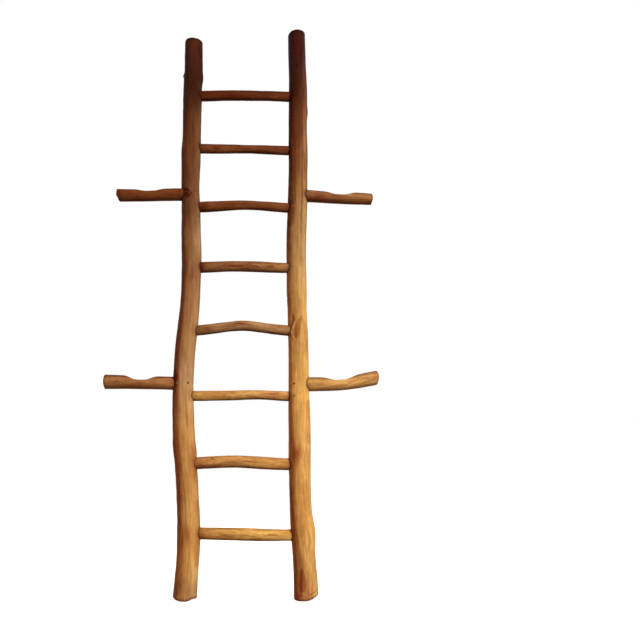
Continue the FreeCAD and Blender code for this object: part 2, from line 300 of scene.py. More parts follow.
leftPole = {
    "side": -1,
    "length": 1.857,
    "topSlope": -0.06,
    "footLift": ((-0.036, 0.0060), (-0.024, 0.0020), (-0.010, 0.0), (0.010, 0.0),
                 (0.024, 0.0060), (0.033, 0.0035)),
    "seed": 11,
    "stations": [
        (0.000, 0.060, 0.00, 1.070), (0.030, 0.020, 0.02, 1.045), (0.060, -0.035, 0.04, 1.030),
        (0.090, -0.055, 0.06, 1.050), (0.120, -0.030, 0.08, 1.030), (0.155, 0.030, 0.10, 1.015),
        (0.200, 0.120, 0.11, 1.015), (0.250, 0.245, 0.10, 1.020), (0.300, 0.315, 0.08, 1.005),
        (0.350, 0.330, 0.05, 0.990), (0.410, 0.250, 0.01, 1.010), (0.460, 0.125, -0.03, 0.985),
        (0.500, 0.060, -0.07, 0.975), (0.550, 0.040, -0.09, 0.990), (0.600, 0.075, -0.11, 0.985),
        (0.650, 0.110, -0.11, 0.950), (0.700, 0.155, -0.09, 0.935), (0.750, 0.160, -0.05, 0.965),
        (0.800, 0.160, -0.01, 0.940), (0.860, 0.160, 0.04, 0.970), (0.910, 0.155, 0.08, 0.985),
        (0.955, 0.140, 0.10, 0.945), (1.000, 0.140, 0.11, 0.935),
    ],
    "tones": [
        (0.00, 0.94, 0.93, 1.08), (0.03, 0.95, 0.96, 1.12), (0.07, 1.30, 1.44, 1.58),
        (0.11, 1.32, 1.49, 1.52), (0.15, 1.24, 1.27, 1.32), (0.24, 1.20, 1.32, 1.40),
        (0.28, 1.07, 1.14, 1.22), (0.34, 1.12, 1.14, 1.09), (0.46, 1.08, 1.10, 1.08),
        (0.56, 1.20, 1.30, 1.32), (0.67, 1.09, 1.21, 1.40), (0.71, 0.99, 1.02, 1.00),
        (0.76, 0.96, 1.02, 0.92), (0.87, 1.06, 1.10, 1.02), (0.93, 1.02, 1.05, 0.95),
        (0.98, 0.91, 0.89, 0.79), (1.10, 0.97, 1.02, 1.00), (1.15, 0.87, 0.84, 0.81),
        (1.20, 0.70, 0.64, 0.57), (1.33, 0.96, 0.97, 1.02), (1.40, 0.87, 0.90, 0.91),
        (1.49, 0.87, 0.92, 1.04), (1.55, 0.90, 1.03, 1.03), (1.61, 0.72, 0.78, 0.85),
        (1.69, 0.77, 0.82, 0.95), (1.78, 0.86, 0.94, 1.00), (1.84, 0.92, 1.03, 1.05),
    ],
    "knots": [
        (1.722, -92, 8, 9, 4.2, 0.15, 0), (1.745, -80, 30, 20, -1, 0, 0),
        (1.712, 88, 20, 16, 2.2, 0, 0), (1.67, 92, 30, 18, -1.4, 0, 0),
        (1.43, -85, 30, 22, 1.8, 0, 0), (1.256, 15, 12, 3.5, 0, 0.35, 0),
        (1.28, -10, 12, 12, 0.8, 0, 0.3), (1.16, 40, 90, 12, -0.3, 0, 0.3),
        (1.08, 88, 50, 16, 1.6, 0, 0), (0.655, -45, 22, 16, 1.6, 0.2, 0),
        (0.43, 82, 28, 18, 3, 0.35, 0), (0.445, -86, 26, 18, 2, 0.1, 0),
        (0.38, 58, 50, 16, 0.6, 0.45, 0), (0.235, 15, 40, 16, 0.4, 0, 0.35),
        (0.185, -10, 30, 18, -0.4, 0.35, 0), (1.78, 70, 80, 18, 0, 0.45, 0),
        (0.012, 20, 10, 30, 0, 0, 0.2),
    ],
    "strokes": [
        scored(1, 0.5, 0, 5, (1.274, -24, 9), (1.256, -18, 10)),
        scored(-0.4, 0.6, 0, 2.6, (1.28, -44, 1.6), (1.276, -14, 2.4), (1.262, 8, 2.4),
            (1.25, -8, 1.6)),
        scored(-0.5, 0.6, 0, 2.6, (1.268, -30, 1.8), (1.262, -18, 2.2), (1.258, -30, 1.6)),
        scored(0.4, 0, 0.6, 3, (1.27, -12, 1.2), (1.262, -6, 1.6)),
        faded(0.7, 5, (1.268, 36, 2), (1.25, 38, 3.4), (1.232, 36, 2)),
        stained(0.28, 4, (1.6, 12, 1), (1.49, 16, 3), (1.41, 14, 1)),
        faded(0.35, 6, (1.13, 52, 2), (1.01, 56, 5), (0.9, 50, 2)),
        # painted highlight: pale strips along the lit side
        faded(0.42, 10, (1.63, 58, 6), (1.54, 56, 12), (1.38, 54, 12), (1.2, 56, 8)),
        faded(0.34, 10, (1.25, 54, 4), (1.17, 54, 12), (1.06, 52, 6)),
        # painted shade near the top of the lit side
        stained(0.24, 10, (1.86, 60, 12), (1.79, 58, 10)),
        stained(0.2, 10, (0.27, 60, 12), (0.2, 58, 12), (0.1, 58, 10)),
        faded(0.6, 8, (1.225, -52, 4), (1.205, -52, 10), (1.185, -54, 4)),
        # painted highlight: pale strips along the lit side low down
        faded(0.3, 10, (0.34, 62, 6), (0.27, 60, 10)),
        faded(0.4, 10, (0.12, 58, 6), (0.06, 56, 12), (0.02, 54, 10)),
        scored(0.2, 0.6, 0, 3, (0.628, -36, 1.6), (0.625, -36, 1.6)),
        faded(0.4, 3, (0.626, 44, 1), (0.612, 46, 1.6), (0.6, 46, 1)),
        stained(0.32, 7, (0.69, -60, 8), (0.655, -50, 13), (0.642, -52, 8)),
        stained(0.25, 3, (0.6, 20, 1), (0.5, 26, 2)),
        stained(0.25, 3, (0.34, -12, 1), (0.27, -6, 2), (0.21, -10, 1)),
        # redder left side, down to the foot
        stained(0.2, 12, (1.16, -68, 10), (1.02, -58, 18), (0.8, -56, 19), (0.55, -55, 22),
            (0.4, -57, 20), (0.26, -62, 16)),
        stained(0.17, 12, (0.99, -50, 6), (0.86, -44, 12), (0.58, -42, 14), (0.36, -44, 12),
            (0.22, -50, 12)),
        stained(0.16, 8, (0.7, -66, 14), (0.655, -56, 21), (0.6, -62, 12)),
        stained(0.2, 5, (0.23, -62, 10), (0.17, -50, 18), (0.1, -46, 21), (0.035, -42, 20)),
        stained(0.12, 6, (0.075, -22, 4), (0.045, -26, 9)),
        scored(1.4, 0.7, 0, 4, (1.507, 150, 6), (1.495, 150, 6)),
        scored(1.8, 0.7, 0, 5, (0.912, 190, 8), (0.896, 190, 7)),
        scored(1.4, 0.65, 0, 4, (0.314, 140, 6), (0.306, 141, 6)),
        scored(-0.6, 0.6, 0, 2.2, (1.36, 130, 0.8), (1.2, 136, 1.4), (1.02, 128, 0.6)),
        scored(-0.6, 0.6, 0, 2.2, (0.74, 170, 0.6), (0.52, 176, 1.4)),
    ],
}
rightPole = {
    "side": 1,
    "length": 1.884,
    "topSlope": 0.08,
    "footLift": ((-0.037, 0.0), (-0.020, 0.0), (0.002, 0.0020), (0.014, 0.0055),
                 (0.026, 0.0100), (0.035, 0.0150)),
    "seed": 23,
    "stations": [
        (0.000, 0.020, 0.00, 1.090), (0.030, 0.010, -0.02, 1.065), (0.060, -0.030, -0.035, 1.045),
        (0.085, -0.060, -0.05, 1.090), (0.105, -0.090, -0.055, 1.105),
        (0.130, -0.150, -0.07, 1.030), (0.165, -0.180, -0.08, 1.015),
        (0.210, -0.175, -0.075, 1.045), (0.260, -0.165, -0.07, 1.048),
        (0.300, -0.165, -0.04, 1.036), (0.350, -0.145, 0.00, 0.980), (0.410, -0.135, 0.05, 0.965),
        (0.460, -0.150, 0.08, 0.950), (0.500, -0.160, 0.10, 0.960), (0.550, -0.150, 0.11, 0.960),
        (0.600, -0.135, 0.10, 0.975), (0.650, -0.065, 0.07, 0.970), (0.700, -0.005, 0.03, 0.960),
        (0.750, 0.015, -0.01, 0.960), (0.800, 0.040, -0.04, 0.955), (0.850, 0.070, -0.05, 0.975),
        (0.900, 0.080, -0.05, 0.955), (0.950, 0.065, -0.02, 0.940), (1.000, 0.055, 0.02, 0.930),
    ],
    "tones": [
        (0.00, 1.20, 1.13, 1.20), (0.03, 1.18, 1.13, 1.19), (0.07, 1.11, 1.18, 1.14),
        (0.11, 1.27, 1.43, 1.58), (0.15, 1.48, 1.70, 1.80), (0.24, 1.30, 1.35, 1.32),
        (0.28, 1.20, 1.21, 1.05), (0.34, 1.45, 1.61, 1.57), (0.46, 1.28, 1.37, 1.29),
        (0.51, 1.45, 1.63, 1.50), (0.55, 1.44, 1.54, 1.20), (0.66, 1.60, 1.68, 1.18),
        (0.71, 1.56, 1.74, 1.08), (0.76, 1.33, 1.33, 0.92), (0.87, 1.48, 1.70, 1.11),
        (0.92, 1.53, 1.85, 1.37), (0.98, 1.55, 1.93, 1.60), (1.10, 1.36, 1.60, 1.45),
        (1.20, 1.47, 1.80, 1.52), (1.33, 1.26, 1.48, 1.15), (1.40, 0.97, 0.95, 0.83),
        (1.49, 0.89, 0.92, 0.95), (1.55, 1.06, 1.02, 1.00), (1.61, 0.84, 0.80, 0.88),
        (1.69, 0.88, 0.85, 0.82), (1.72, 0.75, 0.74, 1.00), (1.78, 0.62, 0.49, 0.66),
        (1.84, 0.53, 0.42, 0.54),
    ],
    "knots": [
        (1.573, 88, 18, 16, 2, 0, 0), (1.64, -30, 35, 14, 0, 0.35, 0),
        (1.5, 4, 60, 6, -0.2, 0.3, 0), (0.43, -6, 26, 14, 1, 0.3, 0),
        (0.412, -28, 30, 12, 0.6, 0.42, 0), (0.45, 20, 30, 12, 0.6, 0, 0.3),
        (0.2, 88, 35, 20, 1.4, 0, 0), (0.76, -66, 220, 19, 0, 0, 0.75),
        (0.016, 30, 10, 20, 0, 0, 0.35), (0.016, -32, 10, 24, 0, 0.22, 0),
    ],
    "strokes": [
        scored(0.2, 0.45, 0, 4, (1.742, -9, 3.5), (1.733, -7, 3.5)),
        stained(0.4, 3, (1.702, 20, 2.5), (1.698, 20, 2.5)),
        # healed scar of a side branch: two dark blades and the pale lip between them
        scored(-1.2, 0.48, 0, 6, (0.854, -36, 3), (0.841, -33, 6.4), (0.829, -40, 5.2),
            (0.808, -55, 2.2)),
        scored(-1, 0.34, 0, 6, (0.845, 16, 2.8), (0.833, 6, 7), (0.82, -3, 9.2), (0.805, -10, 9.9),
            (0.792, -15, 8.6), (0.782, -18, 5)),
        stained(0.16, 10, (0.79, -30, 6), (0.77, -26, 5), (0.755, -20, 2)),
        stained(0.25, 4, (0.848, 18, 2.2), (0.838, 14, 2.6)),
        scored(1.2, 0, 0.85, 2.4, (0.833, -17, 1), (0.816, -33, 1.6), (0.805, -44, 1.6),
            (0.7945, -47, 1.6), (0.786, -41, 1.5), (0.774, -24, 1.2)),
        scored(0.4, 0, 0.5, 2.4, (0.852, -56, 1), (0.835, -55, 1.6), (0.818, -54, 1)),
        faded(0.22, 8, (0.85, 30, 3), (0.8, 28, 6), (0.765, 12, 5)),
        # red side, drop-shaped stain and split rim of the foot
        stained(0.27, 4, (0.34, -74, 8), (0.24, -68, 14), (0.17, -60, 19), (0.09, -56, 20),
            (0.025, -54, 20)),
        scored(-0.3, 0.38, 0, 6, (0.088, -20, 3), (0.068, -22, 8), (0.048, -23, 11.5),
            (0.034, -23, 9)),
        stained(0.12, 5, (0.056, -22, 1), (0.04, -22, 3)),
        # darker left side of the upper half, and pale strips of painted highlight on its lit right
        # side
        stained(0.36, 12, (1.62, -62, 10), (1.52, -56, 16), (1.4, -52, 20), (1.25, -50, 22),
            (1.17, -52, 18)),
        stained(0.1, 12, (0.98, -58, 12), (0.9, -60, 12)),
        stained(0.16, 12, (0.69, -58, 14), (0.63, -56, 16)),
        stained(0.16, 12, (0.37, -54, 16), (0.31, -54, 16)),
        stained(0.1, 12, (0.6, -52, 8), (0.5, -48, 12), (0.3, -46, 10), (0.16, -48, 8)),
        faded(1, 10, (1.8, 56, 4), (1.73, 52, 12), (1.66, 54, 12), (1.6, 58, 8)),
        faded(0.95, 8, (1.79, 48, 6), (1.73, 40, 16), (1.64, 40, 16), (1.58, 42, 10), (1.5, 44, 8),
            (1.42, 46, 4)),
        faded(0.5, 8, (1.24, 44, 6), (1.15, 40, 12), (1.05, 40, 4)),
        faded(0.55, 8, (1.83, -40, 6), (1.76, -38, 10), (1.68, -36, 4)),
        stained(0.2, 12, (1.24, -58, 12), (1.17, -56, 14), (1.12, -58, 12)),
        faded(0.3, 10, (0.765, -40, 10), (0.715, -40, 10)),
        faded(0.55, 4, (1.57, 28, 2), (1.42, 33, 4.5), (1.28, 28, 2)),
        faded(0.45, 3, (1.52, 12, 1), (1.36, 17, 3), (1.2, 14, 1)),
        stained(0.35, 3, (1.54, 22, 1), (1.36, 24, 1.4), (1.22, 20, 1)),
        faded(0.6, 10, (1.64, 54, 9), (1.5, 50, 12), (1.36, 46, 12), (1.24, 48, 6)),
        stained(0.3, 12, (0.57, 58, 12), (0.52, 54, 14), (0.46, 54, 12)),
        faded(0.6, 2.6, (0.026, -66, 0.8), (0.021, -40, 1.1), (0.023, -18, 1.1), (0.013, 2, 0.8)),
        scored(-0.8, 0.75, 0, 2.4, (0.018, 2, 0.6), (0.017, 22, 1.2), (0.02, 44, 1.2),
            (0.027, 62, 0.6)),
        stained(0.25, 5, (1.42, 30, 2), (1.2, 24, 4), (1.02, 28, 2)),
        faded(0.25, 6, (1.16, 48, 3), (0.9, 44, 5)),
        scored(-0.2, 0.35, 0, 3, (0.365, 10, 1), (0.3, 12, 1.4)),
        stained(0.22, 3, (0.11, 20, 1), (0.17, 30, 2), (0.205, 16, 1)),
        scored(1.8, 0.7, 0, 4, (1.318, 165, 7), (1.302, 166, 6)),
        scored(1.4, 0.7, 0, 4, (0.726, 140, 6), (0.714, 141, 6)),
        scored(1.6, 0.65, 0, 5, (0.158, 200, 8), (0.142, 200, 7)),
        scored(-0.6, 0.6, 0, 2.2, (1.62, 150, 0.6), (1.4, 158, 1.4), (1.24, 150, 0.6)),
        scored(-0.6, 0.6, 0, 2.2, (0.58, 185, 1.4), (0.33, 178, 0.6)),
    ],
}


# Where a pole's middle lies in X and Y, given outwards and backwards in shares of thickness
def poleAxis(pole, outwards, backwards):
    thick = poleFamily["thickness"]
    x = poleFamily["shift"] + pole["side"] * (poleFamily["spacing"] / 2 + outwards * thick)
    return x, backwards * thick


# Middle of a pole at a height, and its radius there: the smooth curve through the stations
def poleMiddle(pole, height):
    table = np.array(pole["stations"])
    values = throughPoints(table[:, 0], table[:, 1:], np.asarray(height) / pole["length"])
    x, y = poleAxis(pole, values[..., 0], values[..., 1])
    return x, y, values[..., 2] * poleFamily["thickness"] / 2


# Middle of a joint: the stations are read straight from one to the next, as the mortises are
def jointMiddle(pole, height):
    table = np.array(pole["stations"])
    share = height / pole["length"]
    out, back = [np.interp(share, table[:, 0], table[:, column]) for column in (1, 2)]
    return np.array([*poleAxis(pole, out, back), height])


# A pole's surface at a height and an angle that starts at +X and grows towards +Y: radius
# times the section's swing, plus the marks' swelling and the ripples
def poleSurface(pole, height, angle):
    x, y, radius = poleMiddle(pole, height)
    share = np.clip(height / pole["length"], 0, 1)
    phase = 2 * math.pi * poleFamily["turns"] * share + pole["side"]
    marks = markFields(height, angle + math.pi / 2, poleFamily["thickness"] / 2, pole)
    fine = ripples(height, angle, pole["seed"], poleFamily["ripples"])
    return x, y, radius * sectionSwing(angle, phase) + marks[0] + fine, marks[1], marks[2]


# Tone of a pole at a height, as shares of red, green and blue, read straight from the table
def poleTone(pole, height):
    table = np.array(pole["tones"])
    return np.stack([np.interp(height, table[:, 0], column) for column in table[:, 1:].T], axis=-1)


# Where a line along X meets a pole: the pole's radius is read at the angle found so far, and
# the crossing is worked out again, a few times over
def meetPole(pole, y, z, side):
    x0, y0, radius = poleMiddle(pole, z)
    reach = halfChord(radius, y - y0)
    for again in range(6):
        radius = poleSurface(pole, z, np.arctan2(y - y0, side * reach))[2]
        reach = halfChord(radius, y - y0)
    return x0 + side * reach


# Darkening at the joints, on the pole and on the branch, partly wax and dust gathered there and
# partly painted shade where the parts meet: strength close by, how far that reaches, and strength
# of the wide part
jointGrimeAndShade = {
    "pole": (0.58, 0.0030, 0.28),
    "branch": (0.55, 0.0028, 0.22),
    "spread": 0.012,         # reach of the wide part, and of the turn towards the joint
}


# Two bell curves of the distance from the joint's edge: grime and painted shade
def grimeAndShade(gap, kind):
    close, reach, wide = jointGrimeAndShade[kind]
    return close * np.exp(-(gap / reach) ** 2) + wide * np.exp(-(gap / jointGrimeAndShade["spread"]) ** 2)


# Grime and painted shade on a pole: the most that any joint leaves there. A joint's distance is
# counted from the outside of the branch that enters it, and only the side that faces the branch is
# darkened
def jointShadeAndDirt(points, joints):
    dirt = np.zeros(points.shape[:2])
    for middle, radius, side in joints:
        ring = np.hypot(points[..., 1] - middle[1], points[..., 2] - middle[2]) - radius
        facing = np.clip(side * (points[..., 0] - middle[0]) / jointGrimeAndShade["spread"] + 0.2, 0, 1)
        dirt = np.maximum(dirt, grimeAndShade(np.maximum(ring, 0), "pole") * facing)
    return dirt


# A pole: rows go up it, with rounded rims and end-grain faces. A row's points are the pole's
# surface at that height, and a rim row is drawn in by the rim's own quarter round
def buildPole(name, node, pole, joints, materials):
    columns = poleFamily["columns"]
    rim = poleFamily["rim"]
    length = pole["length"]
    angle = fullTurn(columns)
    body = np.linspace(rim, length - rim, poleFamily["rows"])
    quarter = np.linspace(0, math.pi / 2, poleFamily["rimRows"])
    faces = np.array(poleFamily["faceRings"])
    rings = len(faces)
    heights = np.concatenate([np.zeros(rings), rim * (1 - np.cos(quarter[:-1])), body,
                              length - rim * (1 - np.sin(quarter[1:])), np.full(rings, length)])
    insets = np.concatenate([np.full(rings, rim), rim * (1 - np.sin(quarter[:-1])),
                             np.zeros(len(body)), rim * (1 - np.cos(quarter[1:])),
                             np.full(rings, rim)])
    shrink = np.concatenate([faces, np.ones(len(heights) - 2 * rings), faces[::-1]])
    z = np.repeat(heights[:, None], columns, axis=1)
    x0, y0, radius, stain, pale = poleSurface(pole, z, angle[None, :])
    reach = (radius - insets[:, None]) * shrink[:, None]
    x = reach * np.cos(angle)
    y = reach * np.sin(angle)
    lean = np.clip((z - length) / poleFamily["topCut"] + 1, 0, 1) ** 2
    worn = np.clip(1 - z / poleFamily["footWear"], 0, 1)
    lifted = lean * pole["topSlope"] * x + worn * np.interp(x, *np.array(pole["footLift"]).T)
    points = np.stack([x0 + x, y0 + y, z + lifted], axis=-1)
    saw = ripples(3 * x, 9 * y, pole["seed"] + 5, poleFamily["sawMarks"])
    points[-rings:, :, 2] += saw[-rings:]
    turn = angle + math.pi / 2
    foot, top = poleFamily["darkRim"]
    fields = {
        "grain": np.stack([x, y, z + pole["side"] * poleFamily["grainStart"]], axis=-1),
        "stain": np.clip(stain, 0, 1),
        # The pale field takes a painted highlight along the lit strip. The next field takes painted
        # shade along both flanks, besides the grime and painted shade at the joints
        "pale": np.clip(pale + paintedLightBand(turn, "paintedHighlight"), 0, 2),
        "dirt": np.maximum(jointShadeAndDirt(points, joints),
                           paintedLightBand(turn, "flank") + paintedLightBand(turn, "otherFlankShade")),
        # darker rims at foot and top: worn, and at the foot painted contact shadow
        "edge": np.clip(np.exp(-(z / foot) ** 2) + np.exp(-((length - z) / top) ** 2), 0, 1),
        "tone": poleTone(pole, z),
    }
    piece = gridMesh(name, points, fields, sawnSlots(len(heights), rings, rings + 1))
    finishPiece(piece, node, materials)


tenonBevel = 0.001


# Rows of a round tenon, from the shoulder inwards: a ring on the pole's own surface, the end
# of the straight part and the bevelled face, each a circle about the joint's middle
def tenonRows(middle, radius, depth, pole, angle, side):
    y = middle[1] + radius * np.cos(angle)
    z = middle[2] + radius * np.sin(angle)
    end = np.full(y.shape, middle[0] - side * depth)
    faceY = middle[1] + (radius - tenonBevel) * np.cos(angle)
    faceZ = middle[2] + (radius - tenonBevel) * np.sin(angle)
    return [np.stack([meetPole(pole, y, z, side), y, z], axis=-1),
            np.stack([end + side * tenonBevel, y, z], axis=-1),
            np.stack([end, faceY, faceZ], axis=-1)]


# Tone from one end of a rung or peg to the other: a straight blend by the share of the way
def between(tones, share):
    first, last = np.array(tones)
    return first + (last - first) * share[..., None]


# Grime and painted shade at a rung's or peg's shoulder, or the painted shade along its top where
# that is stronger. The crown holds that band's strength and how many degrees wider it is than its
# own
def branchShadeAndDirt(gap, turn, crown):
    strength, wider = crown
    return np.maximum(grimeAndShade(gap, "branch"), paintedLightBand(turn, "crown", wider) * strength)


# Marks of a whole rung or peg: those between the tenons, the stain with the painted shade of the
# underside's band added, and three rows of zeros for each tenon, which has none
def branchMarks(stain, pale, dirt, turn, tenons):
    marks = {"stain": stain + paintedLightBand(turn, "undersideShade"), "pale": pale, "dirt": dirt}
    bare = np.zeros((3, len(turn)))
    return {label: np.concatenate([bare, np.clip(values, 0, 1), bare][:1 + tenons])
            for label, values in marks.items()}


# Rise of a rung's or peg's middle at a share of its length, radius of the section there as
# the thickness times the section's swing, plus the marks' swelling and the ripples, and the
# marks' stain and paleness
def branchShape(family, spec, along, share, angle, seed, phase):
    thick = family["thickness"]
    rise = throughPoints(family["stations"], spec["rises"], share) * thick
    radius = throughPoints(family["stations"], spec["thick"], share) * thick / 2
    swing = sectionSwing(angle, 2 * math.pi * family["turns"] * share + phase)
    bump, stain, pale = markFields(along, math.pi - angle, thick / 2, spec)
    fine = ripples(along, angle, seed, family["ripples"])
    return rise, radius * swing + bump + fine, stain, pale


# Rungs, lowest first, in shares of the rung's thickness: heights of both ends, bow to the back,
# rises above the line between the ends, and thicknesses. Crown holds how strong the painted shade
# along the top is and how many degrees wider than its own. Marks are placed by X and by degrees
# upwards from the front
rungFamily = {
    "thickness": 0.034,
    "lowest": 0.182,
    "pitch": 0.2088,
    "turns": 0.4,
    "ripples": 0.0006,
    "seed": 40,              # the lowest rung's, and one more for each rung above
    "tenonRadius": 0.012,
    "pastCentre": 0.006,
    "stations": (0.0, 0.17, 0.34, 0.50, 0.66, 0.83, 1.0),
    "columns": 80,
    "rows": 150,
    "gather": 0.025,         # how much closer the rows stand near both ends
    "grainStart": 7,
}
# The stained knots near X -0.12 to -0.13 darken most rungs beside the left pole: grime and painted
# shade
rungs = [
    {"ends": (0.12, -0.03), "back": 0.05, "crown": (1.0, 8),
     "tone": ((0.83, 0.77, 0.88), (1.92, 2.48, 2.44)),
     "rises": (0, -0.02, -0.04, -0.04, -0.04, -0.02, 0),
     "thick": (1.05, 1.06, 1.09, 1.10, 1.03, 0.98, 0.97),
     "knots": [(-0.12, -20, 20, 10, 0, 0.3, 0)],
     "strokes": [
         stained(0.42, 3, (-0.07, 5, 1), (-0.045, -12, 2.5), (-0.02, -8, 1)),
         stained(0.45, 3, (-0.005, 8, 0.5), (0.02, -5, 1.8), (0.055, -22, 1)),
         stained(0.4, 3, (0.02, -30, 1), (0.05, -42, 2), (0.085, -35, 1)),
         stained(0.35, 3, (0.06, 8, 1), (0.09, 2, 1.8), (0.12, 5, 0.8)),
         faded(0.3, 5, (0, -22, 2), (0.045, -12, 4), (0.075, 18, 3)),
         faded(0.55, 6, (0.01, -34, 3), (0.07, -32, 6), (0.15, -30, 6))]},
    {"ends": (-0.05, -0.10), "back": -0.08, "crown": (1.0, 3),
     "tone": ((0.83, 0.78, 0.84), (1.42, 1.54, 1.50)),
     "rises": (0, 0.11, 0.21, 0.21, 0.13, 0.05, 0),
     "thick": (1.06, 1.06, 1.08, 1.10, 1.09, 1.04, 1.03),
     "knots": [(-0.128, -10, 12, 12, 0, 0.38, 0), (-0.01, 60, 12, 6, 1.4, 0, 0),
               (-0.08, 15, 20, 6, 0, 0, 0.35)],
     "strokes": [
         scored(0.4, 0.75, 0, 3, (-0.093, 40, 1), (-0.086, 34, 1.4)),
         stained(0.26, 3, (-0.03, 12, 0.8), (0.02, 4, 1.8), (0.07, -4, 0.8)),
         stained(0.22, 3, (0.03, 20, 1), (0.11, 12, 2)),
         faded(0.35, 6, (-0.06, -30, 2), (0, -26, 6), (0.05, -20, 2)),
         faded(0.6, 3, (-0.098, -8, 1.2), (-0.092, -6, 1.6)),
         faded(0.6, 3, (-0.078, -4, 1.2), (-0.072, -2, 1.6))]},
    {"ends": (-0.05, -0.14), "back": 0.07, "crown": (0.75, 0),
     "tone": ((1.08, 1.16, 0.93), (1.34, 1.36, 1.24)),
     "rises": (0, 0.02, 0.05, 0.10, 0.14, 0.06, 0),
     "thick": (0.92, 0.91, 0.90, 0.90, 0.84, 0.87, 0.88),
     "knots": [(-0.115, -55, 14, 8, 1.2, 0.1, 0), (0.1, 12, 30, 6, 0, 0.38, 0),
               (-0.1, -5, 30, 6, 0, 0.2, 0)],
     "strokes": [
         scored(0.5, 0.8, 0, 3, (-0.058, -14, 1.2), (-0.055, -12, 1.6)),
         stained(0.35, 3, (-0.066, 10, 0.8), (-0.056, 0, 1.8), (-0.048, 12, 0.6)),
         faded(0.3, 5, (-0.03, 18, 1.5), (0.03, 14, 3), (0.07, 22, 1.5)),
         faded(0.35, 6, (-0.05, -6, 2), (0.01, -4, 6), (0.06, 2, 2))]},
    {"ends": (-0.14, -0.12), "back": -0.10, "crown": (0.6, 0),
     "tone": ((0.66, 0.61, 0.56), (1.22, 1.42, 1.50)),
     "rises": (0, 0.16, 0.38, 0.53, 0.37, 0.16, 0),
     "thick": (0.95, 0.95, 0.94, 0.97, 0.97, 0.99, 0.99),
     "knots": [(-0.112, -5, 14, 10, 0, 0.35, 0), (0, 15, 20, 5, 0.6, 0.3, 0)],
     "strokes": [
         stained(0.4, 3, (-0.07, 4, 0.8), (-0.01, 14, 2.4), (0.02, 6, 1.6), (0.06, 0, 0.8)),
         faded(0.28, 4, (-0.09, 30, 2), (-0.03, 34, 3)),
         faded(0.45, 6, (0.01, 24, 2), (0.05, 16, 6), (0.11, 10, 3))]},
    {"ends": (-0.06, -0.02), "back": 0.06, "crown": (0.7, 36),
     "tone": ((0.82, 0.77, 0.75), (1.13, 1.17, 1.11)),
     "rises": (0, 0.07, 0.16, 0.19, 0.14, 0.05, 0),
     "thick": (1.04, 1.04, 1.02, 1.03, 1.07, 1.02, 1.00),
     "knots": [(-0.134, -10, 12, 16, 0.4, 0.8, 0), (0, -50, 18, 10, -1.2, 0, 0),
               (0.08, -40, 16, 8, 1, 0, 0)],
     "strokes": [
         faded(0.45, 3, (-0.095, -20, 1), (-0.075, -8, 3), (-0.06, 6, 1)),
         stained(0.55, 4, (-0.06, -2, 1), (-0.03, -14, 3), (0.004, -8, 1.2)),
         stained(0.4, 3, (-0.09, -30, 1), (-0.05, 14, 1.8), (-0.01, -26, 1.4), (0.03, 16, 1)),
         stained(0.55, 4, (0.015, -20, 1), (0.03, -6, 2), (0.052, -14, 1)),
         scored(0.4, 0, 0.8, 3, (0.04, 8, 1.2), (0.052, -2, 2.6), (0.066, -18, 1.2)),
         scored(0.3, 0, 0.6, 3, (0.064, 14, 1), (0.076, 2, 2), (0.088, -12, 1)),
         stained(0.5, 3, (0.075, -6, 1), (0.1, -10, 2))]},
    {"ends": (-0.05, -0.04), "back": -0.05, "crown": (0.8, 22),
     "tone": ((0.92, 0.71, 0.54), (0.96, 0.73, 0.59)),
     "rises": (0, 0.08, 0.18, 0.27, 0.22, 0.10, 0),
     "thick": (1.06, 1.05, 0.99, 0.95, 0.93, 0.98, 0.99),
     "knots": [(-0.13, -20, 14, 20, 0, 0.48, 0), (-0.02, -14, 50, 4, 0, 0.2, 0),
               (0.085, 10, 30, 4, 0, 0, 0.25)],
     "strokes": [stained(0.25, 3, (-0.09, 6, 0.8), (-0.02, 2, 1.8), (0.05, -6, 0.8))]},
    {"ends": (0.17, -0.09), "back": 0.08, "crown": (0.85, 48),
     "tone": ((1.06, 0.98, 0.94), (1.08, 0.98, 0.97)),
     "rises": (0, 0.02, 0.06, 0.10, 0.11, 0.04, 0),
     "thick": (0.94, 0.97, 0.93, 0.87, 0.89, 0.93, 0.94),
     "knots": [(-0.07, -75, 20, 10, 1.6, 0, 0), (-0.086, -10, 12, 9, 0, 0.42, 0),
               (-0.112, 0, 12, 9, 0, 0, 0.35), (0.042, 0, 14, 10, 0, 0, 0.5),
               (0.02, -70, 20, 10, -0.8, 0, 0), (0.015, -10, 20, 4, 0, 0, 0.35)],
     "strokes": [stained(0.3, 3, (-0.03, -18, 1), (0, -24, 2), (0.03, -22, 1))]},
    {"ends": (-0.06, -0.31), "back": -0.06, "crown": (0.95, 52),
     "tone": ((1.86, 1.62, 1.33), (1.76, 1.88, 1.76)),
     "rises": (0, 0.05, 0.09, 0.11, 0.10, 0.05, 0),
     "thick": (1.08, 1.08, 1.07, 1.05, 1.01, 0.99, 0.99),
     "knots": [(-0.045, -14, 20, 5, 0, 0.26, 0), (0.04, -12, 30, 4, 0, 0, 0.25)],
     "strokes": [stained(0.22, 3, (-0.1, -30, 1), (-0.04, -34, 2), (0.03, -30, 1))]},
]


# Both ends of a rung: the joints' middles at the lowest height plus the rung's pitches, moved
# by the rung's own shares of its thickness
def rungEnds(number):
    base = rungFamily["lowest"] + number * rungFamily["pitch"]
    heights = [base + share * rungFamily["thickness"] for share in rungs[number]["ends"]]
    return [jointMiddle(pole, height) for pole, height in zip((leftPole, rightPole), heights)]


